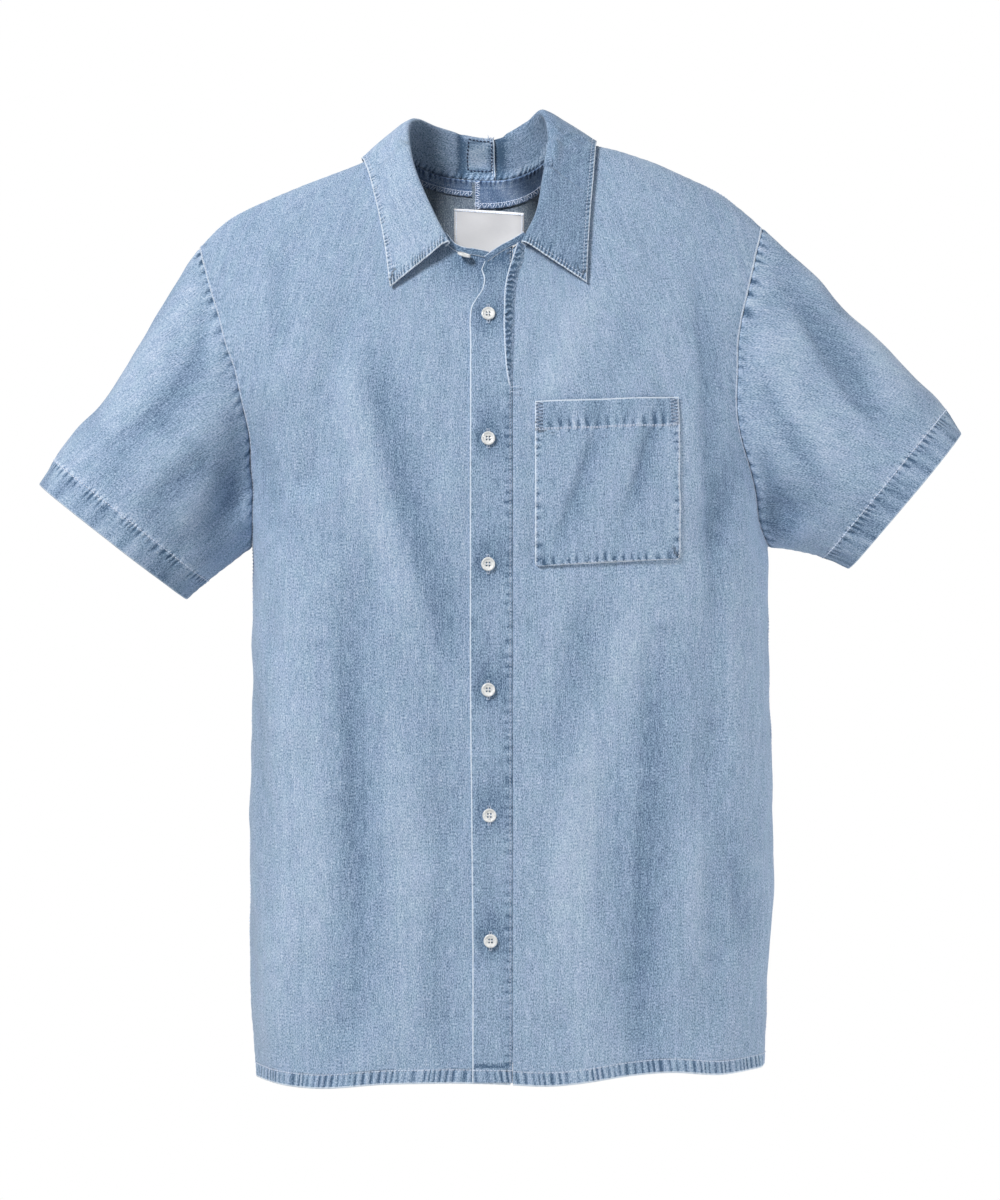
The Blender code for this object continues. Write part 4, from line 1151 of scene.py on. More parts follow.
def panel_steps(side, face):
    """u and v of a panel's grid: close rows in the hem, close columns beside the arm and side seam."""
    u = np.linspace(0, 1 - CLOSE_COLUMNS / PANEL_WIDTH, PANEL_COLUMNS[face])
    u[np.argmin(np.abs(u - NECK_U[side, face]))] = NECK_U[side, face]
    u = np.concatenate([u, 1 - NEAR_SEAM / PANEL_WIDTH])
    per_metre = UNDERARM_V / (UNDERARM_Z - HEM_Z)
    hem = np.arange(0, CLOSE_ROWS, HEM_STEP) * per_metre
    body = np.linspace(hem[-1], UNDERARM_V, BODY_ROWS)[1:]
    arm = np.linspace(UNDERARM_V, 1, ARM_ROWS)[1:]
    return u, np.concatenate([hem, body, arm])


print("columns and rows of a front:", [len(steps) for steps in panel_steps(RIGHT, FRONT)])

# %% Panels
TOPSTITCH = 0.0014
SECOND_TOPSTITCH = 0.0078
SHOULDER_STITCH = 0.0055
ARM_STITCH = 0.0009
BACK_EDGE_STITCH = 0.012
ARM_LAP = 0.0008


def painted_neck_shadow(points):
    """Painted shadow under the collar's points: 1 there and 0 elsewhere."""
    return bell(np.hypot((points[..., 0] + 0.01) / 1.25, points[..., 2] + 0.076), 0.026)


def mark_hem(seams, seed):
    """The body's turned hem: slanting ridges below its stitches, and two pale rubbed lines."""
    hem = 1 - smooth_step(seams.low, BODY_HEM - 0.0006, BODY_HEM + 0.0012)
    seams.gather(seams.start + 0.15 * seams.low, seams.low * 0, seed,
        pitch=0.006, reach=0.02, strength=hem)
    seams.rub(seams.low + 0.0006)
    seams.wear += 0.7 * bell(seams.low - BODY_HEM, 0.0009)


def make_panel(name, side, face, seed):
    u, v = panel_steps(side, face)
    turn, over = panel_domain(side, face, u, v)
    sunk = lapped_under(bare_form(turn, over), side, face)
    points, normals = cloth(turn, over, sunk)
    seams = Seams(points)
    # Tone from the creases: ridges rubbed pale, hollows dark, partly painted light and shade.
    seams.wear += fading_and_crease_shade(turn, over)
    by_arm = smooth_step(v, UNDERARM_V - 0.01, UNDERARM_V + 0.02)[:, None]
    by_shoulder = smooth_step(u, NECK_U[side, face] - 0.02, NECK_U[side, face] + 0.05)[None, :]
    mark_hem(seams, seed)
    seams.gather(seams.low, seams.end, seed + 10,
        pitch=0.009, reach=0.011, strength=0.25 * by_arm, slant=0.3)
    seams.gather(seams.low, seams.end, seed + 20,
        pitch=0.0095, reach=0.015, strength=0.55 * (1 - by_arm), slant=0.5)
    seams.gather(seams.start, seams.top, seed + 30,
        pitch=0.0085, reach=0.01, strength=0.3 * by_shoulder)
    if face == FRONT:
        seams.rub(seams.end + (0.0 if side == LEFT else 0.0005) + FAR * (1 - by_arm))
        # Painted shadow under the collar's points, on the fronts.
        seams.wear -= 1.1 * painted_neck_shadow(points)
    seams.wear += 0.3 * bell(seams.end - 0.0045, 0.0025) * (1 - by_arm)
    seams.wear -= 0.2 * bell(seams.end, 0.001) * (1 - by_arm)
    by_neck = (1 - smooth_step(u, NECK_U[side, face] - 0.03, NECK_U[side, face] - 0.01))[None, :]
    seams.wear -= 1.0 * bell(seams.top, 0.0016) * by_neck
    seams.points[:, -1] += unit(seams.points[:, -1] - seams.points[:, -2]) * ARM_LAP * by_arm
    extra = groove(seams.low - BODY_HEM, 0.0013, 0.0002)
    extra += groove(seams.end, 0.001, 0.0004) * (1 - by_arm)
    extra += groove(seams.top, 0.0015, 0.0006) * by_shoulder
    if (side, face) == (LEFT, BACK):
        seams.rub(seams.start)
        seams.gather(seams.low, seams.start, seed + 40,
            pitch=0.009, reach=0.012, strength=0.45, slant=0.6)
        extra += groove(seams.start - BACK_EDGE_STITCH, 0.0012, 0.0003)
    points = dress(name, seams, normals, extra, BODY_HEM, offset=(PANEL_EDGE_X[side, face] * side, 0))
    sew(points, normals, seams.low, BODY_HEM, by_row=False)
    arm = v > UNDERARM_V
    if face == FRONT:
        sew(points, normals, seams.end, ARM_STITCH, by_row=True, keep=arm, radius=0.00032)
    else:
        for away, part in ((TOPSTITCH, ~arm), (SECOND_TOPSTITCH, ~arm), (TOPSTITCH, arm)):
            sew(points, normals, seams.end, away, by_row=True, keep=part)
        out = u > NECK_U[side, face]
        sew(points, normals, seams.top, SHOULDER_STITCH, by_row=False, keep=out)
    if (side, face) == (LEFT, BACK):
        sew(points, normals, seams.start, BACK_EDGE_STITCH, by_row=True)


make_panel("front_right", RIGHT, FRONT, 100)
make_panel("front_left", LEFT, FRONT, 200)
make_panel("back_right", RIGHT, BACK, 300)
make_panel("back_left", LEFT, BACK, 400)

# %% [markdown]
# ### Sleeves
# A sleeve is one flat cut joined into a tube under the arm. A bent cylinder would leave a gap at the
# body, so the cloth is stretched between two rings: the panels' arm seam, point for point, and the
# cuff. The hem is turned up inside by 24 mm. The cloth below its stitching is held short by the
# thread, so it stands in sharp little ridges.

# %% Sleeve shape
CUFF_TOP = {RIGHT: (-0.384, -0.264), LEFT: (0.401, -0.221)}
CUFF_UNDER = {RIGHT: (-0.257, -0.363), LEFT: (0.304, -0.3375)}
CUFF_DEPTH = 0.062
SLEEVE_FULLNESS = 0.006
SLEEVE_TOP_BOW = {RIGHT: -0.0045, LEFT: 0.0045}
SLEEVE_TOP_WAVE = 0.0024
SLEEVE_UNDER_BOW = {RIGHT: -0.001, LEFT: -0.004}
SLEEVE_HEM = 0.0235
SLEEVE_COLUMNS = 190
SLEEVE_ROWS = 62


def arm_ring(side, turns):
    """The arm seam all round: 0 at the underarm, then up the front, over the tip and down behind."""
    share = np.where(turns <= 0.5, 1 - 2 * turns, 2 * turns - 1)
    face = np.where(turns <= 0.5, FRONT, BACK)
    turn, over = armhole(side, share)
    return cloth(turn, face * over)


def cuff_ring(side, turns):
    """The cuff's edge all round, from under the arm, by the same turns."""
    top = np.array([CUFF_TOP[side][0], 0.0, CUFF_TOP[side][1]])
    under = np.array([CUFF_UNDER[side][0], 0.0, CUFF_UNDER[side][1]])
    angle = 2 * math.pi * turns[:, None]
    across = (top + under) / 2 - (top - under) / 2 * np.cos(angle)
    return across + np.array([0.0, -CUFF_DEPTH, 0.0]) * np.sin(angle)


def sleeve_grid(side, turns, length):
    """Points of a sleeve: turns round it, and length 0 at the arm seam to 1 at the cuff."""
    cap, _ = arm_ring(side, turns)
    cuff = cuff_ring(side, turns)
    way = cuff.mean(axis=0) - cap.mean(axis=0)
    middle = cap.mean(axis=0)[None, None, :] + way[None, None, :] * length[:, None, None]
    points = cap[None] + (cuff - cap)[None] * length[:, None, None]
    faces = SLEEVE_FULLNESS * np.sin(2 * math.pi * turns) ** 2
    top = SLEEVE_TOP_BOW[side] * np.maximum(-np.cos(2 * math.pi * turns), 0) ** 2
    under = SLEEVE_UNDER_BOW[side] * np.maximum(np.cos(2 * math.pi * turns), 0) ** 2
    wave = SLEEVE_TOP_WAVE * np.maximum(-np.cos(2 * math.pi * turns), 0) ** 2
    bulge = 4 * (length * (1 - length))[:, None] * (faces + top + under)[None, :]
    bulge = bulge + np.sin(3 * math.pi * length)[:, None] * wave[None, :]
    return points + unit(points - middle) * bulge[..., None]


def ring_normals(points):
    """Directions out of a tube whose last column lies on its first."""
    ring = points[:, :-1]
    round_way = np.roll(ring, -1, axis=1) - np.roll(ring, 1, axis=1)
    normal = unit(np.cross(np.gradient(ring, axis=0), round_way))
    outward = ring - ring.mean(axis=1, keepdims=True)
    normal *= np.sign((normal * outward).sum())
    return np.concatenate([normal, normal[:, :1]], axis=1)


print("a sleeve has", SLEEVE_COLUMNS, "columns")

# %% Sleeves
SLEEVE_CLOSE_ROWS = 0.026


def make_sleeve(name, side, seed):
    top = np.array(CUFF_TOP[side])
    tip = np.array([TIP_X[side], float(along(SHOULDER_LINE, TIP_X[side], 1))])
    long = np.linalg.norm(top - tip)
    hem = np.linspace(1, 1 - SLEEVE_CLOSE_ROWS / long, 15)
    middle = np.linspace(hem[-1], CLOSE_COLUMNS / long, SLEEVE_ROWS)[1:]
    length = np.concatenate([hem, middle, NEAR_SEAM / long])
    turns = np.linspace(0, 1, SLEEVE_COLUMNS)
    points = sleeve_grid(side, turns, length)
    normals = ring_normals(points)
    calm = smooth_step(length, 0.02, 0.16) * (1 - 0.7 * smooth_step(length, 0.75, 1.0))
    calm = calm[:, None] * smooth_step(np.abs(np.sin(2 * math.pi * turns)), 0.08, 0.5)[None, :]
    face = np.broadcast_to(np.where(turns < 0.5, FRONT, BACK), calm.shape)
    lift = crease_height(points[..., 0], points[..., 2], face, SLEEVE_CREASES) * calm
    lift += wrinkles(points) * smooth_step(length, 0.0, 0.1)[:, None]
    points = points + normals * lift[..., None]
    seams = Seams(points)
    under = np.minimum(seams.start, seams.end)
    near_tip = 0.75 + 0.75 * smooth_step(-np.cos(2 * math.pi * turns), 0.2, 0.9)[None, :]
    below = np.where(seams.low < SLEEVE_HEM, SLEEVE_HEM - seams.low, (seams.low - SLEEVE_HEM) * 3.5)
    seams.gather(seams.start, below, seed, pitch=0.0058, reach=0.0115, strength=1.2, least=0.25)
    seams.gather(seams.start, seams.top, seed + 20,
        pitch=0.0112, reach=0.0125, strength=near_tip, slant=0.25)
    seams.gather(seams.low, under, seed + 30, pitch=0.009, reach=0.012, strength=0.45)
    seams.rub(seams.low + 0.001)
    seams.wear -= 0.2 * (1 - smooth_step(seams.low, SLEEVE_HEM - 0.001, SLEEVE_HEM + 0.001))
    seams.wear += 1.1 * bell(seams.low - SLEEVE_HEM, 0.001)
    seams.wear += 0.35 * bell(seams.low - SLEEVE_HEM - 0.002, 0.0016)
    in_hem = 1 - smooth_step(seams.low, SLEEVE_HEM - 0.002, SLEEVE_HEM)
    seams.wear += 0.36 * wander(seams.start / 0.0045, seed + 7) * in_hem
    # Tone from the sleeve's creases, partly painted light and painted shade.
    seams.wear += np.clip(1.3 * lift / CREASE_TONE_HEIGHT, -0.7, 0.3)
    extra = groove(seams.low - SLEEVE_HEM, 0.0014, 0.0002) + groove(seams.top, 0.0022, 0.0013)
    extra += groove(under, 0.0012, 0.0005)
    points = dress(name, seams, normals, extra, SLEEVE_HEM, closed=True, offset=(0.7 * side, 0.2))
    sew(points, normals, seams.low, SLEEVE_HEM, by_row=False, radius=0.00055)


make_sleeve("sleeve_right", RIGHT, 500)
make_sleeve("sleeve_left", LEFT, 600)

# %% [markdown]
# ### Collar
# Two halves, each turned over at a soft roll: the stand rises from the neck seam and the leaf comes
# down again over the shoulder. They meet behind the neck, where the left half tucks under the right
# and lets the collar open. A flat strip could be bent round the neck, but a collar is cut to stand,
# so its roll and its edge are placed and smooth cloth is drawn through them. The leaf's edge is
# stitched a little way in, which puckers it.

# %% Collar shape
# Turn from centre back, the roll line's x, y, z, then where the edge comes to rest: x and angle.
COLLAR = (
    (-160, -0.0335, -0.074, -0.063, -0.0838, 90),
    (-140, -0.046, -0.062, -0.039, -0.088, 73),
    (-125, -0.059, -0.05, -0.01, -0.0925, 59),
    (-105, -0.0665, -0.028, 0.016, -0.0995, 38),
    (-90, -0.0685, -0.006, 0.036, -0.106, 14),
    (-70, -0.063, 0.014, 0.046, -0.107, -12),
    (-45, -0.044, 0.035, 0.0405, -0.085, -36),
    (0, 0.0, 0.046, 0.032, 0.0, -52),
    (45, 0.032, 0.037, 0.046, 0.066, -36),
    (70, 0.043, 0.014, 0.053, 0.088, -12),
    (90, 0.048, -0.006, 0.039, 0.089, 16),
    (105, 0.0485, -0.026, 0.019, 0.0875, 39),
    (125, 0.044, -0.05, -0.008, 0.0845, 60),
    (140, 0.0395, -0.062, -0.034, 0.0825, 76),
    (160, 0.0262, -0.073, -0.063, 0.0812, 92),
)
COLLAR_ROLL = 0.0035
COLLAR_BULGE = 0.001
COLLAR_CLEAR = 0.0034
COLLAR_EDGE_LIFT = WALL + 2 * LAY + 0.0012
COLLAR_SEAM_LIFT = GAP + 0.0002
COLLAR_SPAN = {RIGHT: (-160, 3.5), LEFT: (-20, 160)}
COLLAR_TUCK = (11, 19)
COLLAR_COLUMNS = 180
COLLAR_STEP = 0.0018
COLLAR_STITCH = 0.0042
CLOSE_ANGLES = np.array([0.35, 0.9, 1.6])


print("height of the roll beside the neck:", along(COLLAR, -90, 3).round(4))

# %% Lines of the collar
def neck_ring(angle):
    """The neck seam: angle in degrees from centre back, negative on the wearer's right."""
    x = neck_swing(np.radians(angle)) * np.where(angle < 0, -NECK_X[RIGHT], NECK_X[LEFT])
    behind = np.abs(angle) < 90
    z = np.where(behind, neck_z(x, BACK), neck_z(x, FRONT))
    turn, over = place(x, z, np.where(behind, BACK, FRONT))
    return cloth(turn, over)


def clear_of_body(points, face, clear):
    """The points, moved out where they lie nearer to the panels than clear."""
    body, out = cloth(*place(points[..., 0], points[..., 2], face))
    gap = ((points - body) * out).sum(-1, keepdims=True)
    return points + out * np.maximum(clear - gap, 0.0)


def collar_rows(angle):
    """The collar's main lines, from its neck seam up to the roll and down to its edge."""
    roll = np.stack([along(COLLAR, angle, c) for c in (1, 2, 3)], axis=-1)
    edge_x = along(COLLAR, angle, 4)
    over = np.radians(along(COLLAR, angle, 5))
    z = along(SHOULDER_LINE, edge_x, 1) - fall_to_drop(np.abs(over))
    turn, _ = place(edge_x, z, FRONT)
    edge, lift = cloth(turn, over)
    edge = edge + lift * COLLAR_EDGE_LIFT
    face = np.where(over >= 0, FRONT, BACK)
    seam, lift = neck_ring(angle)
    tangent = unit(np.gradient(roll, angle, axis=0))
    up = roll - (seam + edge) / 2
    up = unit(up - tangent * (up * tangent).sum(-1, keepdims=True))
    side = unit(np.cross(tangent, up))
    side *= np.where((side * (edge - seam)).sum(-1, keepdims=True) < 0, -1, 1)
    inner = roll - (side + up) * COLLAR_ROLL
    outer = clear_of_body(roll + (side - up) * COLLAR_ROLL, face, COLLAR_CLEAR)
    base = seam + lift * COLLAR_SEAM_LIFT
    bulge = (side + up) * COLLAR_BULGE
    shoulder = side * COLLAR_ROLL * 0.7
    dip = up * COLLAR_ROLL * 0.3
    rows = [base, (base + inner) / 2, inner]
    rows += [roll - shoulder - dip, roll, roll + shoulder - dip, outer]
    for t in (0.33, 0.67):
        leaf = outer + (edge - outer) * t + bulge * 4 * t * (1 - t)
        rows.append(clear_of_body(leaf, face, COLLAR_CLEAR))
    rows.append(edge)
    return np.stack(rows, axis=1), up


def refine(points, step):
    """More lines across a grid's second axis, on smooth curves through its own."""
    reach = np.linalg.norm(np.diff(points, axis=1), axis=-1).mean(axis=0)
    knots = np.concatenate([[0.0], np.cumsum(reach)])
    at = np.linspace(0, knots[-1] - 0.005, int(knots[-1] / step))
    at = np.concatenate([at, knots[-1] - NEAR_SEAM])
    return smooth_between(knots, points.swapaxes(0, 1), at).swapaxes(0, 1)


def collar_grid(side):
    """A half's angles, points and directions out, and how far up the cloth its roll lies."""
    first, last = COLLAR_SPAN[side]
    front_end = first if side == RIGHT else last
    angle = np.concatenate([np.linspace(first, last, COLLAR_COLUMNS), front_end - CLOSE_ANGLES * side])
    angle = np.sort(angle)
    tuck = np.zeros_like(angle)
    if side == LEFT:
        tuck = -LAP * (1 - smooth_step(angle, *COLLAR_TUCK))
    points, up = collar_rows(angle)
    roll_reach = np.linalg.norm(np.diff(points[:, :5], axis=1), axis=-1).mean(axis=0).sum()
    points = refine(points, COLLAR_STEP)
    normals = unit(np.cross(np.gradient(points, axis=0), np.gradient(points, axis=1)))
    if (normals * up[:, None]).sum() < 0:
        normals = -normals
    return angle, points + normals * tuck[:, None, None], normals, roll_reach


print("degrees of the right half:", COLLAR_SPAN[RIGHT])

# %% Wear and stitches of the collar
# The navy square, by its middle and half size: distance from the half's end, height up the stand.
SQUARE_MIDDLE = (0.015, 0.0203)
SQUARE_HALF = (0.0112, 0.0128)


def wear_and_shade_right_half(seams, behind, leaf, past_roll):
    """A pale patch in the navy square, dark dents along its stitches, painted shadow in the
    crease beside it, and a frayed end.
    """
    patch_middle = np.hypot((behind - 0.0145) / 1.1, seams.start - 0.0205)
    seams.wear += 0.45 * (1 - smooth_step(patch_middle, 0.005, 0.013))
    # Painted shadow in the crease beside the square.
    seams.wear -= 1.5 * bell(behind - 0.0292, 0.003) * (1 - leaf)
    from_end = np.abs(behind - SQUARE_MIDDLE[0]) - SQUARE_HALF[0]
    stitched = np.maximum(from_end, np.abs(seams.start - SQUARE_MIDDLE[1]) - SQUARE_HALF[1])
    seams.wear -= 0.95 * bell(stitched, 0.0024) * (1 - leaf)
    seams.wear += 1.6 * bell(np.hypot(behind - 0.005, past_roll), 0.006)


def wear_and_shade_left_half(seams, leaf):
    """Painted shadow where it tucks under the right half, and a pale neck seam."""
    # Painted shadow beside the right half's end.
    seams.wear -= 1.4 * bell(seams.points[..., 0] - 0.0085, 0.005) * (1 - leaf)
    seams.wear += 0.45 * (1 - smooth_step(seams.start, 0.006, 0.009))


def stitch_collar(points, normals, seams, front, past_roll):
    """The row of stitches inside the leaf's long edge and its front edge."""
    inner = front.mean(axis=1) > COLLAR_STITCH
    sew(points, normals, seams.end, COLLAR_STITCH, by_row=True, keep=inner,
        radius=0.0003, sink=0.45)
    turned = (seams.end.mean(axis=0) > COLLAR_STITCH) & (past_roll[0] > 0.004)
    sew(points, normals, front, COLLAR_STITCH, by_row=False, keep=turned, radius=0.0003, sink=0.45)


print("half of the navy square:", SQUARE_HALF)

# %% Halves of the collar
def make_collar(name, side, seed, neckband_end):
    angle, points, normals, roll_reach = collar_grid(side)
    seams = Seams(points)
    front = seams.low if side == RIGHT else seams.top
    behind = seams.top if side == RIGHT else seams.low
    past_roll = seams.start.mean(axis=0)[None, :] - roll_reach
    leaf = smooth_step(past_roll, -0.003, 0.006)
    seams.gather(seams.low, seams.end, seed, pitch=0.0038, reach=0.0095, strength=1.1, slant=0.3)
    seams.gather(seams.start, front, seed + 10,
        pitch=0.0032, reach=0.0125, strength=1.5 * leaf, slant=0.3, least=0.6)
    seams.gather(seams.low, seams.start, seed + 20, pitch=0.0052, reach=0.0085, strength=0.9)
    seams.rub(seams.end)
    seams.rub(front)
    seams.wear += 0.18 * bell(seams.end - 0.002, 0.0018)
    # Painted shade on the stand, more on the left half. Painted light on the right leaf, and painted
    # shade on the left leaf, which faces away from the key lamp.
    seams.wear -= (0.15 if side == RIGHT else 0.5) * (1 - leaf)
    seams.wear += (0.22 if side == RIGHT else -0.6) * leaf
    extra = groove(seams.end - COLLAR_STITCH, 0.0011, 0.0003)
    extra += groove(front - COLLAR_STITCH, 0.0011, 0.0003) * leaf
    if side == RIGHT:
        seams.rub(behind)
        wear_and_shade_right_half(seams, behind, leaf, past_roll)
        extra += groove(behind - 0.029, 0.0035, 0.0012) * (1 - leaf)
    else:
        wear_and_shade_left_half(seams, leaf)
    points = dress(name, seams, normals, extra, inside=False,
                   offset=(0.2 * side, 0.4), thick=0.0011)
    stitch_collar(points, normals, seams, front, past_roll)
    if side == RIGHT:
        up = seams.start.mean(axis=0)
        sew(points, normals, behind, 0.0026, by_row=False, keep=(up > 0.001) & (up < 0.036),
            pitch=0.0026)
    return angle, points, normals, seams


print("stitches of the collar at", COLLAR_STITCH)

# %% Ends of the neckband
# Each end of the neckband: x and height of its middle line, and how far out it stands.
NECKBAND = {
    RIGHT: (((-0.038, -0.056), (-0.0306, -0.065), (-0.023, -0.0688), (-0.0128, -0.0702),
             (-0.001, -0.0728)), 0.0024),
    LEFT: (((-0.004, -0.0772), (0.003, -0.0722), (0.0102, -0.0678), (0.018, -0.0638),
            (0.029, -0.057)), 0.0038),
}
NECKBAND_WIDTH = 0.0054


def make_neckband_end(name, side):
    """The folded end of the collar's band, which shows between the leaves. Returns its piece."""
    line, stands_out = NECKBAND[side]
    x = np.linspace(line[0][0], line[-1][0], 40)
    z = along(line, x, 1)
    way = unit(np.stack([np.gradient(x), np.gradient(z)], axis=-1))
    share = np.linspace(-0.5, 0.5, 9)
    across = (share - 0.25) * NECKBAND_WIDTH
    x = x[:, None] - way[:, 1:] * across[None, :]
    z = z[:, None] + way[:, :1] * across[None, :]
    turn, over = place(x, z, FRONT)
    lean = 0.003 * share[None, :] ** 2 + 0.001 * (0.5 - share[None, :])
    points, normals = cloth(turn, over, stands_out - lean)
    seams = Seams(points)
    seams.gather(seams.low, seams.end, 850 + side, pitch=0.007, reach=0.006, strength=0.3)
    seams.rub(seams.start + 0.0004)
    seams.rub(seams.end + 0.0004)
    seams.wear -= 0.9
    dress(name, seams, normals, inside=False, thick=0.0009, stands_for=[])
    return bpy.data.objects[name + "_cloth"]


COLLAR_RIGHT = make_collar("collar_right", RIGHT, 700, make_neckband_end("neckband_end_right", RIGHT))
make_collar("collar_left", LEFT, 800, make_neckband_end("neckband_end_left", LEFT))

# %% [markdown]
# ### Pieces that lie on the body
# The placket, the band at the neck slit, the pocket, the facings and the label all lie on the
# panels. Flat pieces could be shrinkwrapped on to them, but would lose their sizes. Instead each is
# a grid of x and height on the same worn cloth, lifted by the layers beneath it, so the creases run
# through it as they do through real layers.

# %% Grids on the body
def patch(face, x, z, out):
    """Points and directions of a patch on the worn cloth, moved out from it."""
    return cloth(*place(x, z, face), out)


def patch_fading_and_shade(face, x, z):
    """Crease tone of the cloth that the patch lies on, partly painted light and shade."""
    return fading_and_crease_shade(*place(x, z, face))


def spread(width, step):
    """Even shares from 0 to 1 across a width, closer together near both ends."""
    first, last = NEAR_SEAM[::-1] / width, 1 - NEAR_SEAM / width
    inner = np.linspace(first[-1], last[0], max(int((last[0] - first[-1]) * width / step), 2) + 1)
    return np.concatenate([first[:-1], inner, last[1:]])


print("shares across 35 mm:", len(spread(0.035, 0.0017)))

# %% [markdown]
# ### Placket
# The strip of doubled cloth that carries the buttons. One edge is sewn down, and the other is free
# and curves in beside the neck slit. A straight strip bent to that curve would squeeze its weave, so
# the cloth is spread between its two edges.

# %% Shape of the placket
# Height, x of the placket's free edge.
PLACKET = (
    (-0.766, -0.0145),
    (-0.65, -0.0145),
    (-0.54, -0.0155),
    (-0.43, -0.0165),
    (-0.32, -0.0165),
    (-0.2, -0.0165),
    (-0.15, -0.0165),
    (-0.125, -0.0165),
    (-0.1185, -0.0155),
    (-0.1125, -0.012),
    (-0.105, -0.007),
    (-0.095, -0.005),
    (-0.087, -0.0072),
)
SEWN_X = 0.019
PLACKET_TOP = ((-0.0045, -0.08), (SEWN_X, -0.067))
PLACKET_WIDTH = 0.035
PLACKET_STITCH = 0.0021
PLACKET_CLOSE_ROWS = 0.019
PLACKET_BEND_Z = -0.15
FIRST_BUTTON_Z = -0.125
BUTTON_PITCH = 0.1045
BUTTON_COUNT = 6
BUTTON_SETBACK = 0.0152
BUTTON_Z = [FIRST_BUTTON_Z - k * BUTTON_PITCH for k in range(BUTTON_COUNT)]


def placket_x(z):
    """The buttons' line on the placket."""
    return float(along(PLACKET, z, 1)) + BUTTON_SETBACK


def placket_places():
    """x and height over the placket, whose top is cut on a slant to meet the collar."""
    hem = HEM_Z + np.arange(0, PLACKET_CLOSE_ROWS, HEM_STEP)
    body = np.linspace(hem[-1], PLACKET_BEND_Z, 195)[1:]
    curve = np.linspace(PLACKET_BEND_Z, PLACKET[-1][0], 46)[1:]
    z = np.concatenate([hem, body, curve])
    share = spread(PLACKET_WIDTH, 0.0017)
    free = along(PLACKET, z, 1)[:, None]
    x = free + (SEWN_X - free) * share[None, :]
    (free_x, free_z), (sewn_x, sewn_z) = PLACKET_TOP
    top_x = free_x + (sewn_x - free_x) * share
    top_z = free_z + (sewn_z - free_z) * share
    slant = smooth_step(z, PLACKET_BEND_Z, PLACKET[-1][0])[:, None] * (top_z - free_z)[None, :]
    height = z[:, None] + slant * 0.8
    rise = np.linspace(0, 1, 6)[1:, None]
    x = np.concatenate([x, x[-1] + (top_x - x[-1]) * rise])
    return x, np.concatenate([height, height[-1] + (top_z - height[-1]) * rise])


print("buttons at", [round(placket_x(z), 4) for z in BUTTON_Z])

# %% Placket
def make_placket():
    x, z = placket_places()
    points, normals = patch(FRONT, x, z, LAY + WALL)
    seams = Seams(points)
    mark_hem(seams, 900)
    beside = np.abs(seams.end - PLACKET_STITCH - 0.001)
    seams.gather(seams.low, seams.start, 910, pitch=0.011, reach=0.006, strength=0.25)
    seams.gather(seams.low, beside, 920, pitch=0.0095, reach=0.0065, strength=0.55)
    seams.gather(seams.start, seams.top, 930, pitch=0.005, reach=0.01, strength=0.8)
    seams.rub(seams.start)
    for button_z in BUTTON_Z:
        above = 0.55 if button_z < FIRST_BUTTON_Z else 1.0
        height = np.where(z > button_z, (z - button_z) * above, z - button_z)
        away = np.hypot((x - placket_x(button_z)) * 0.8, height)
        seams.wear -= 0.8 * bell(away, 0.014) * smooth_step(seams.start, 0, 0.006)
    # Painted shadow under the collar's points, on the placket.
    seams.wear -= 1.1 * painted_neck_shadow(points)
    # Painted shade in the creases under the neckband.
    seams.wear -= 0.7 * bell(np.hypot(x - 0.012, z + 0.077), 0.006)
    band = smooth_step(seams.low, BODY_HEM + 0.0014, BODY_HEM + 0.0024)
    band *= 1 - smooth_step(seams.low, BODY_HEM + 0.0046, BODY_HEM + 0.0062)
    band *= smooth_step(np.minimum(seams.start, seams.end), 0.001, 0.003)
    seams.wear -= 1.2 * band
    # Crease tone of the front beneath, partly painted light and shade, carried on to the placket.
    seams.wear += patch_fading_and_shade(FRONT, x, z) - 0.2
    extra = groove(seams.low - BODY_HEM, 0.0012, 0.0002)
    extra -= (LAY + WALL - GAP) * (1 - smooth_step(seams.end, 0.0, 0.0036))
    points = dress("placket", seams, normals, extra, inside=False,
                   offset=(0.03, 0.0))
    sew(points, normals, seams.end, PLACKET_STITCH, by_row=True, radius=0.00032)
    sew(points, normals, seams.low, BODY_HEM, by_row=False)


print("placket:", PLACKET_WIDTH, "wide")

# %% [markdown]
# ### Band at the neck slit
# A narrow binding covers the raw edge of the slit. It bends with it, so it is also spread between
# two edges. Its stitches pull hard and pucker it all over.

# %% Band at the neck slit
# Height, left edge and right edge of the band.
SLIT_BAND = (
    (-0.186, 0.0164, 0.0192),
    (-0.176, 0.0142, 0.02),
    (-0.1632, 0.0128, 0.0208),
    (-0.1484, 0.012, 0.0212),
    (-0.1337, 0.0115, 0.0214),
    (-0.1199, 0.0118, 0.0217),
    (-0.1042, 0.0124, 0.0226),
    (-0.0904, 0.015, 0.025),
    (-0.0776, 0.019, 0.029),
    (-0.065, 0.023, 0.03),
)
TRIM = 0.001
SLIT_BAND_OUT = LAY + LAP + TRIM * 0.9


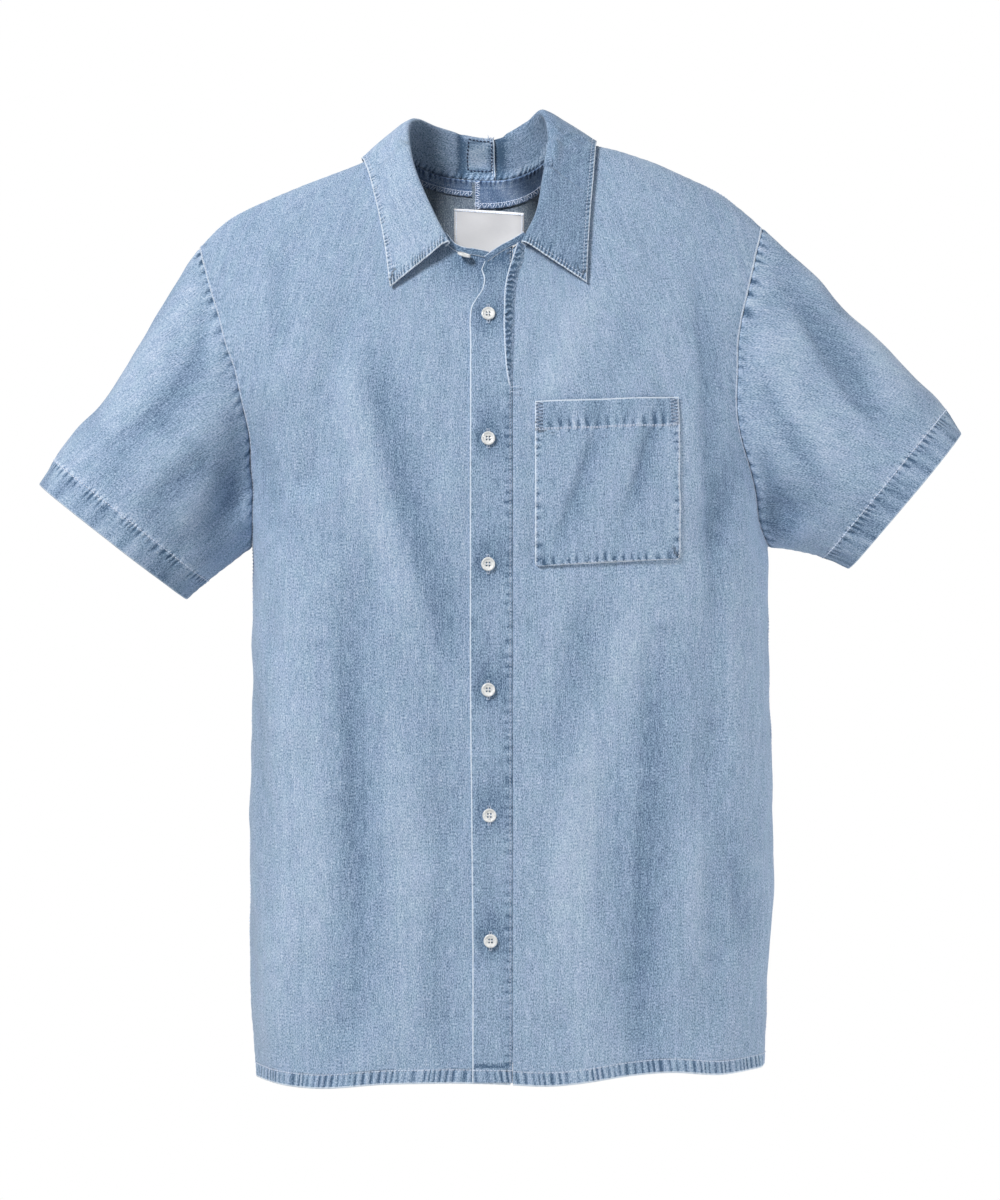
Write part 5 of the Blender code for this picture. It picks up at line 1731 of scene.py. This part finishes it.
def make_slit_band():
    z = np.linspace(SLIT_BAND[0][0], SLIT_BAND[-1][0], 90)
    left, right = along(SLIT_BAND, z, 1), along(SLIT_BAND, z, 2)
    x = left[:, None] + (right - left)[:, None] * np.linspace(0, 1, 9)[None, :]
    z = np.broadcast_to(z[:, None], x.shape)
    points, normals = patch(FRONT, x, z, SLIT_BAND_OUT)
    seams = Seams(points)
    middle = smooth_step(seams.start, 0.0008, 0.002) * smooth_step(seams.end, 0.001, 0.006)
    bent = seams.low + 0.0012 * wander(seams.start / 0.0016 + seams.low / 0.004, 952)
    seams.gather(bent, seams.low * 0, 950,
        pitch=0.005, reach=0.02, strength=0.2 + 1.9 * middle, least=0.5)
    seams.gather(seams.low - 0.9 * seams.start, seams.end, 955,
        pitch=0.0049, reach=0.005, strength=0.7)
    seams.wear -= 1.05 * middle
    seams.rub(seams.start + 0.0003)
    dive = -(SLIT_BAND_OUT + GAP) * (1 - smooth_step(seams.end, 0.0, 0.005))
    dive -= 0.0006 * (1 - smooth_step(seams.start, 0, 0.0015))
    points = dress("slit_band", seams, normals, dive, inside=False,
                   offset=(0.5, 0.1), thick=TRIM * 0.8)
    sew(points, normals, seams.start, 0.0009, by_row=True, pitch=0.0024, radius=0.00028)


make_slit_band()
make_placket()

# %% [markdown]
# ### Pocket
# A patch sewn on along three sides, with rounded corners below and a hem on top. A flat box would
# float at its corners, but a grid on the same form, drawn in at its edges, lies as sewn cloth does.

# %% Pocket
POCKET_X = (0.0376, 0.158)
POCKET_Z = (-0.336, -0.1985)
POCKET_RISE = (0.052, 0.04)
POCKET_HEM = 0.024
POCKET_CORNER = 0.003
POCKET_EASE = 0.0008
POCKET_STITCH = 0.0016
POCKET_LIFT = LAY + POCKET_EASE + WALL


def make_pocket():
    width, tall = POCKET_X[1] - POCKET_X[0], POCKET_Z[1] - POCKET_Z[0]
    up = spread(tall, 0.002) * tall
    above = np.minimum(up, POCKET_CORNER)
    cut = POCKET_CORNER - np.sqrt(POCKET_CORNER ** 2 - (POCKET_CORNER - above) ** 2)
    share = spread(width, 0.0018)
    x = (POCKET_X[0] + cut)[:, None] + (width - 2 * cut)[:, None] * share[None, :]
    rise = POCKET_RISE[0] + (POCKET_RISE[1] - POCKET_RISE[0]) * up / tall
    z = POCKET_Z[0] + up[:, None] + (x - POCKET_X[0]) * rise[:, None]
    points, normals = patch(FRONT, x, z, POCKET_LIFT)
    seams = Seams(points)
    over = np.where(seams.top < POCKET_HEM, POCKET_HEM - seams.top, (seams.top - POCKET_HEM) * 3.0)
    side = np.minimum(seams.start, seams.end)
    seams.gather(seams.start, over, 960,
        pitch=0.008, reach=0.014, strength=0.85, slant=0.2, least=0.7)
    seams.gather(seams.low, side, 970, pitch=0.0092, reach=0.0075, strength=0.95)
    seams.gather(seams.start, seams.low, 980, pitch=0.0076, reach=0.0125, strength=1.2, least=0.6)
    for edge in (seams.start, seams.end, seams.low, seams.top):
        seams.rub(edge)
    # Crease tone of the front beneath, partly painted light and shade, carried on to the pocket.
    seams.wear += patch_fading_and_shade(FRONT, x, z) - 0.1
    in_hem = 1 - smooth_step(seams.top, POCKET_HEM - 0.001, POCKET_HEM + 0.001)
    seams.wear += (0.34 * wander(seams.start / 0.0055, 985) - 0.16) * in_hem
    seams.wear -= 0.55 * bell(np.hypot(side - 0.004, seams.low - 0.006), 0.0085)
    seams.wear += 0.9 * bell(seams.top - POCKET_HEM, 0.0011)
    extra = groove(seams.top - POCKET_HEM, 0.0013, 0.0002)
    extra += groove(side - POCKET_STITCH, 0.0009, 0.0002)
    extra -= 0.0005 * (1 - smooth_step(np.minimum(side, seams.low), 0.0, 0.0016))
    points = dress("pocket", seams, normals, extra, inside=False,
                   offset=(POCKET_X[0], 0.43))
    lower = seams.top.mean(axis=1) > 0.001
    inner = np.abs(np.arange(len(share)) - len(share) / 2) < len(share) / 2 - 7
    for edge, by_row, part in ((seams.start, True, lower), (seams.end, True, lower),
                               (seams.low, False, inner)):
        sew(points, normals, edge, POCKET_STITCH, by_row, part, radius=0.0003)
    for step in (-0.0005, 0.0005):
        sew(points, normals, seams.top, POCKET_HEM + step, False, pitch=0.0026, radius=0.0004)


make_pocket()

# %% [markdown]
# ### Inside the back neck
# Through the neck opening the inside of the back shows: two facings of dark denim with overlocked
# edges and a plain woven label. They are patches like the pocket, but on the inside of the back, so
# they are placed behind its cloth and their directions out are turned round.

# %% Sizes and the label's satin
FACING_X = {RIGHT: (-0.064, -0.0155), LEFT: (-0.013, 0.046)}
FACING_DROP = {RIGHT: (-0.0018, 0.0115), LEFT: (-0.0018, 0.0205)}
FACING_IN = -LAP - WALL - LAY - TRIM
LABEL_X = (-0.031, 0.029)
LABEL_Z = (-0.09, -0.0268)
LABEL_IN = FACING_IN - LAY
LABEL_TILT = -0.06
RIB_SPOT = (0.004, 0.0005)
CLOUD_SPOT = (0.015, 0.015)


def satin_material():
    """A woven label: fine flat ribs of polyester with a dull shine."""
    material, tree, shader = new_material("woven satin label")
    uv = add_node(tree, "UVMap", {"uv_map": "cloth"}).outputs["UV"]
    grain = spots(tree, uv, RIB_SPOT)
    tone = combine(tree, (grain, 0.25), (spots(tree, uv, CLOUD_SPOT), 0.3))
    tone = add_node(tree, "Math", {"operation": "ADD"}, _0=tone, _1=0.5)
    ramp = add_node(tree, "ValToRGB", Fac=tone)
    ramp.color_ramp.elements[0].color = linear("#d5d5da")
    ramp.color_ramp.elements[1].color = linear("#f7f7f8")
    bump = add_node(tree, "Bump", Height=combine(tree, (grain, 0.00006)), Distance=1.0)
    feed(shader, Base_Color=ramp, Normal=bump, Roughness=0.45)
    return material


print("label:", LABEL_X, LABEL_Z)

# %% Facings and label
def make_facing(name, side, seed):
    """A strip inside one back along its neck seam, with its raw edges overlocked."""
    first, last = FACING_X[side]
    x = first + (last - first) * spread(last - first, 0.0016)
    top, low = FACING_DROP[side]
    drop = np.linspace(low, top, int((low - top) / 0.0012) + 3)
    z = neck_z(x, BACK)[None, :] - drop[:, None]
    points, normals = patch(BACK, np.broadcast_to(x, z.shape), z, FACING_IN)
    normals = -normals
    seams = Seams(points)
    seams.gather(seams.start, seams.top, seed, pitch=0.005, reach=0.0085, strength=1.0)
    seams.gather(seams.start, seams.low, seed + 3, pitch=0.007, reach=0.006, strength=0.5)
    seams.wear += 0.4 * wander(seams.start / 0.006 + seams.low / 0.008, seed + 6) - 0.05
    seams.wear += 0.6 * bell(seams.top - 0.0075, 0.0008) - 0.4 * bell(seams.top - 0.0088, 0.001)
    points = dress(name, seams, normals, 0.0, materials=[DARK_DENIM],
                   thick=TRIM * 0.9)
    THREAD_PALE.serge(*trace(points, normals, seams.low, 0.003, by_row=False), 0.006)
    if side == LEFT:
        THREAD_PALE.serge(*trace(points, normals, seams.start, 0.0026, by_row=True), 0.005)


def make_label():
    width, tall = LABEL_X[1] - LABEL_X[0], LABEL_Z[1] - LABEL_Z[0]
    x = LABEL_X[0] + width * spread(width, 0.0025)
    z = LABEL_Z[0] + tall * spread(tall, 0.0025)
    tilt = (x - x.mean()) * LABEL_TILT
    points, normals = patch(BACK, np.broadcast_to(x, (len(z), len(x))), z[:, None] + tilt, LABEL_IN)
    normals = -normals
    seams = Seams(points)
    side = np.minimum(np.minimum(seams.start, seams.end), seams.top)
    loose = 0.0006 * np.sin(seams.start / 0.01) * smooth_step(side, 0.0, 0.012)
    extra = loose - 0.0003 * (1 - smooth_step(side, 0.0, 0.001))
    points = dress("neck_label", seams, normals, extra, materials=[satin_material()],
                   thick=0.0005)
    for edge, by_row in ((seams.top, False), (seams.start, True), (seams.end, True)):
        sew(points, normals, edge, 0.0017, by_row, pitch=0.0024)


make_facing("neck_facing_right", RIGHT, 990)
make_facing("neck_facing_left", LEFT, 995)
make_label()

# %% [markdown]
# ### Buttons
# Seven pearl-white shirt buttons of 18 ligne, with four holes, a dished face and a rounded rim. Holes
# cut by a boolean would leave slivers, so each ring of edges is bridged to the next, rim and bores
# alike, and the faces are filled between the rim and the four small circles.

# %% Resin and sizes of a button
BUTTON_RADIUS = 0.0058
BUTTON_THICK = 0.0024
BUTTON_HOLE = 0.0008
BUTTON_HOLE_OUT = 0.0017
DISH = 0.52
BUTTON_SIDES = 56
HOLE_SIDES = 14
CLOUDS_PER_METRE = 420.0
COLLAR_BUTTON = (-0.022, -0.077, 0.005)
COLLAR_BUTTON_TILT = -58
COLLAR_BUTTON_LEAN = -20


def resin_material():
    """Moulded polyester resin: white, a little glossy, with a cloud of pearl every 2.4 mm."""
    material, tree, shader = new_material("pearl resin")
    where = add_node(tree, "TexCoord").outputs["Object"]
    clouds = add_node(tree, "TexNoise", Vector=where, Scale=CLOUDS_PER_METRE, Detail=2.0)
    ramp = add_node(tree, "ValToRGB", Fac=clouds)
    ramp.color_ramp.elements[0].position = 0.3
    ramp.color_ramp.elements[0].color = linear("#dcdedd")
    ramp.color_ramp.elements[1].position = 0.7
    ramp.color_ramp.elements[1].color = linear("#fbfbf9")
    feed(shader, Base_Color=ramp, Roughness=0.24, Coat_Weight=0.35, Coat_Roughness=0.1)
    return material


print("a button is", BUTTON_RADIUS * 2000, "mm across")

# %% Button
def circle(bm, radius, height, sides, middle=(0.0, 0.0)):
    """A ring of edges; returns its vertices in order."""
    turned = Matrix.Translation((middle[0], middle[1], height))
    made = bmesh.ops.create_circle(bm, segments=sides, radius=radius, matrix=turned)
    return made["verts"]


def ring_edges(verts):
    """The edges between these vertices, in the same order on every run."""
    return list(dict.fromkeys(e for v in verts for e in v.link_edges if e.other_vert(v) in verts))


def bridge(bm, *rings):
    """Walls from each ring of edges to the next."""
    for low, high in zip(rings, rings[1:]):
        bmesh.ops.bridge_loops(bm, edges=ring_edges(low) + ring_edges(high))


def button_mesh():
    """A four-hole button round the origin, with its face towards +Z."""
    bm = bmesh.new()
    r, t = BUTTON_RADIUS, BUTTON_THICK
    profile = ((r - 0.0011, 0), (r - 0.00045, t * 0.08), (r - 0.0001, t * 0.28), (r, t * 0.5),
               (r - 0.0001, t * 0.76), (r - 0.00045, t * 0.93), (r - 0.0009, t), (r - 0.0013, t * 0.94),
               (r - 0.0017, t * 0.7), (r - 0.0021, t * 0.57), (r - 0.0028, t * DISH))
    rings = [circle(bm, radius, height, BUTTON_SIDES) for radius, height in profile]
    bridge(bm, *rings)
    faces = {"back": [rings[0]], "front": [rings[-1]]}
    for k in range(4):
        angle = math.pi / 4 + k * math.pi / 2
        middle = (BUTTON_HOLE_OUT * math.cos(angle), BUTTON_HOLE_OUT * math.sin(angle))
        levels = ((BUTTON_HOLE, 0), (BUTTON_HOLE, t * 0.45), (BUTTON_HOLE * 1.2, t * DISH))
        bore = [circle(bm, radius, height, HOLE_SIDES, middle) for radius, height in levels]
        bridge(bm, *bore)
        faces["back"].append(bore[0])
        faces["front"].append(bore[-1])
    for loops in faces.values():
        edges = [e for loop in loops for e in ring_edges(loop)]
        bmesh.ops.triangle_fill(bm, use_beauty=True, use_dissolve=False, edges=edges)
    bmesh.ops.recalc_face_normals(bm, faces=bm.faces)
    mesh = finished_mesh(bm, "button")
    mesh.set_sharp_from_angle(angle=math.radians(50))
    return mesh


BUTTON_MESH = button_mesh()
print("a button has", len(BUTTON_MESH.polygons), "faces")

# %% Buttons on the shirt
def button_frame(x, z, out, tilt=0.0, lean=0.0):
    """A frame on the front at this x and height: z out of the cloth, x along it.
    tilt turns the button over, about an axis that leans from level."""
    turn, over = place(np.array([x]), np.array([z]), FRONT)
    point, normal = form(turn, over, np.array([out]))
    front = Vector(normal[0])
    across = Vector((1, 0, 0)) - front * front.x
    across.normalize()
    up = front.cross(across)
    turned = Matrix((across, up, front)).transposed().to_4x4()
    turned.translation = Vector(point[0])
    return turned @ Matrix.Rotation(tilt, 4, Vector((math.cos(lean), math.sin(lean), 0)))


def sew_button(frame_of):
    """Two bars of thread between the holes."""
    out = np.array(frame_of.to_3x3().col[2])
    run = np.array(frame_of.to_3x3().col[1])
    reach = BUTTON_HOLE_OUT * math.sin(math.pi / 4)
    for hand in (-reach, reach):
        middle = np.array(frame_of @ Vector((hand, 0, BUTTON_THICK * DISH)))
        for shift in (-0.00011, 0.00011):
            bar = middle + np.array(frame_of.to_3x3().col[0]) * shift
            THREAD_PALE.stitch(bar, run, out, reach * 2 + 0.0002, 0.00012, 0.2)


RESIN = resin_material()


def make_button(name, frame_of, sewn=True):
    mesh = BUTTON_MESH.copy()
    mesh.name = name
    mesh.transform(frame_of)
    add_piece(name + "_resin", mesh, [RESIN], [name], thick=0)
    if sewn:
        sew_button(frame_of)


for k, z in enumerate(BUTTON_Z):
    make_button(f"button_{k + 1}", button_frame(placket_x(z), z, LAY + WALL + GAP))
tilt, lean = math.radians(COLLAR_BUTTON_TILT), math.radians(COLLAR_BUTTON_LEAN)
make_button("collar_button", button_frame(*COLLAR_BUTTON, tilt, lean), sewn=False)
print("buttons:", BUTTON_COUNT + 1)

# %% [markdown]
# ### Stitching that follows no edge
# Some stitches follow no edge: the buttonholes, the bar that ends the neck slit, the dense tacks at
# the pocket's corners, and the navy square that holds the collar's halves together behind. A seam
# can't lead them, so each is a short row of stitches laid from a place and a direction.

# %% Bar tacks and buttonholes
BAR_PITCH = 0.00075


def sew_bar(x, z, way, long, out, across, pitch=BAR_PITCH, thread=THREAD_PALE):
    """A bar tack: short stitches side by side, along the way from x and z for that length."""
    steps = np.arange(0, long, pitch)
    points, normals = patch(FRONT, x + way[0] * steps, z + way[1] * steps, np.full_like(steps, out))
    for point, normal in zip(points, normals):
        over_way = unit(np.array([-way[1], 0.0, way[0]]))
        over_way = unit(over_way - normal * (over_way @ normal))
        thread.stitch(point, over_way, normal, across, 0.00028, 0.2)


def sew_buttonhole(x, z):
    """The two ends of an upright buttonhole that show above and below the button."""
    lift = LAY + LAP + 0.0001
    for up in (-1, 1):
        for hand in (-0.0009, 0.0009):
            sew_bar(x + hand, z + up * 0.0046, (0.0, up), 0.003, lift, across=0.0011)
        sew_bar(x - 0.0014, z + up * 0.0078, (1.0, 0.0), 0.0028, lift, across=0.001)


for z in BUTTON_Z:
    sew_buttonhole(placket_x(z), z)
print("buttonholes:", len(BUTTON_Z))

# %% Tacks of the slit and the pocket
# x, height and direction of each bar.
SLIT_TACK = ((0.017, -0.1872, 0.97, 0.24), (0.0168, -0.1905, 0.99, -0.1))
for x, z, across, up in SLIT_TACK:
    sew_bar(x, z, (across, up), 0.008, LAY + LAP, across=0.0009)

TACK_WIDE, TACK_TALL, TACK_ROWS = 0.0058, 0.0225, 16
for left in (POCKET_X[0] + 0.001, POCKET_X[1] - 0.001 - TACK_WIDE):
    for row in range(TACK_ROWS):
        top = POCKET_Z[1] - 0.0014 - TACK_TALL * row / TACK_ROWS
        slope = 0.22 if row % 2 else -0.22
        z = top + (left - POCKET_X[0]) * POCKET_RISE[1]
        thread = THREAD_PALE if row % 2 else THREAD_NAVY
        sew_bar(left, z, (0.97, slope), TACK_WIDE, POCKET_LIFT + 0.0004, 0.0013, 0.001, thread)
print("rows of a pocket tack:", TACK_ROWS)

# %% The collar's square
def grid_line(points, normals, rows, columns):
    """Points of a grid at fractional rows and columns."""
    i, j = np.floor(rows).astype(int), np.floor(columns).astype(int)
    a, b = (rows - i)[:, None], (columns - j)[:, None]
    path = []
    for g in (points, normals):
        path.append((g[i, j] * (1 - b) + g[i, j + 1] * b) * (1 - a)
                    + (g[i + 1, j] * (1 - b) + g[i + 1, j + 1] * b) * a)
    return path[0], unit(path[1])


SQUARE_X = (-0.0195, 0.0012)
SQUARE_RISE = (0.0075, 0.033)
# Shift from the square's corner, lean and length of each loose end.
LOOSE_ENDS = ((-0.0062, -0.9, 0.0034), (-0.0035, 0.3, 0.0042), (-0.0015, -0.4, 0.005),
              (0.0004, 0.8, 0.0036))
angle, points, normals, seams = COLLAR_RIGHT
BEHIND = np.flatnonzero(angle > -45)


def square_corner(x, rise):
    """Row and column of the collar at this x behind the neck and this height up its stand."""
    j = float(np.interp(rise, seams.start[BEHIND[-8]], np.arange(points.shape[1])))
    return float(np.interp(x, points[BEHIND, int(j), 0], BEHIND)), j


left, right = SQUARE_X
low, high = SQUARE_RISE
corners = ((left, low), (left, high), (right, high), (right, low), (left, low))
corners = [square_corner(*corner) for corner in corners]
for (i, j), (k, m) in zip(corners, corners[1:]):
    share = np.linspace(0, 1, 24)
    edge = grid_line(points, normals, i + (k - i) * share, j + (m - j) * share)
    THREAD_NAVY.seam(*edge, pitch=0.0032, length=0.0026, radius=0.00065)
for shift, lean, long in LOOSE_ENDS:
    root = grid_line(points, normals, *np.array([square_corner(right + shift, high + 0.0015)]).T)[0][0]
    way = unit(np.array([lean, 0.0, 1.0]))
    THREAD_PALE.stitch(root + way * long / 2, way, np.array([0.0, -1.0, 0.0]), long, 0.00038, 0.0)
print("loose ends:", len(LOOSE_ENDS))

# %% [markdown]
# ## Finish
# All the pale stitches become one mesh and the navy ones another.

# %% Thread materials and the last steps
TWISTS_PER_METRE = 1800.0


def thread_material(name, colour):
    """Spun cotton: dull, with the ply of its twist as a fine uneven shade."""
    material, tree, shader = new_material(name)
    where = add_node(tree, "TexCoord").outputs["Object"]
    twist = add_node(tree, "TexNoise", Vector=where, Scale=TWISTS_PER_METRE, Detail=1.0)
    shade = add_node(tree, "MapRange", Value=twist, To_Min=0.9, To_Max=1.02)
    tint = add_node(tree, "VectorMath", {"operation": "SCALE"}, _0=linear(colour)[:3], Scale=shade)
    feed(shader, Base_Color=tint, Roughness=0.7, Sheen_Weight=0.2)
    return material


THREAD_PALE.finish("pale_stitches", thread_material("pale cotton thread", "#e2edff"))
THREAD_NAVY.finish("navy_stitches", thread_material("navy cotton thread", "#2b3f60"))
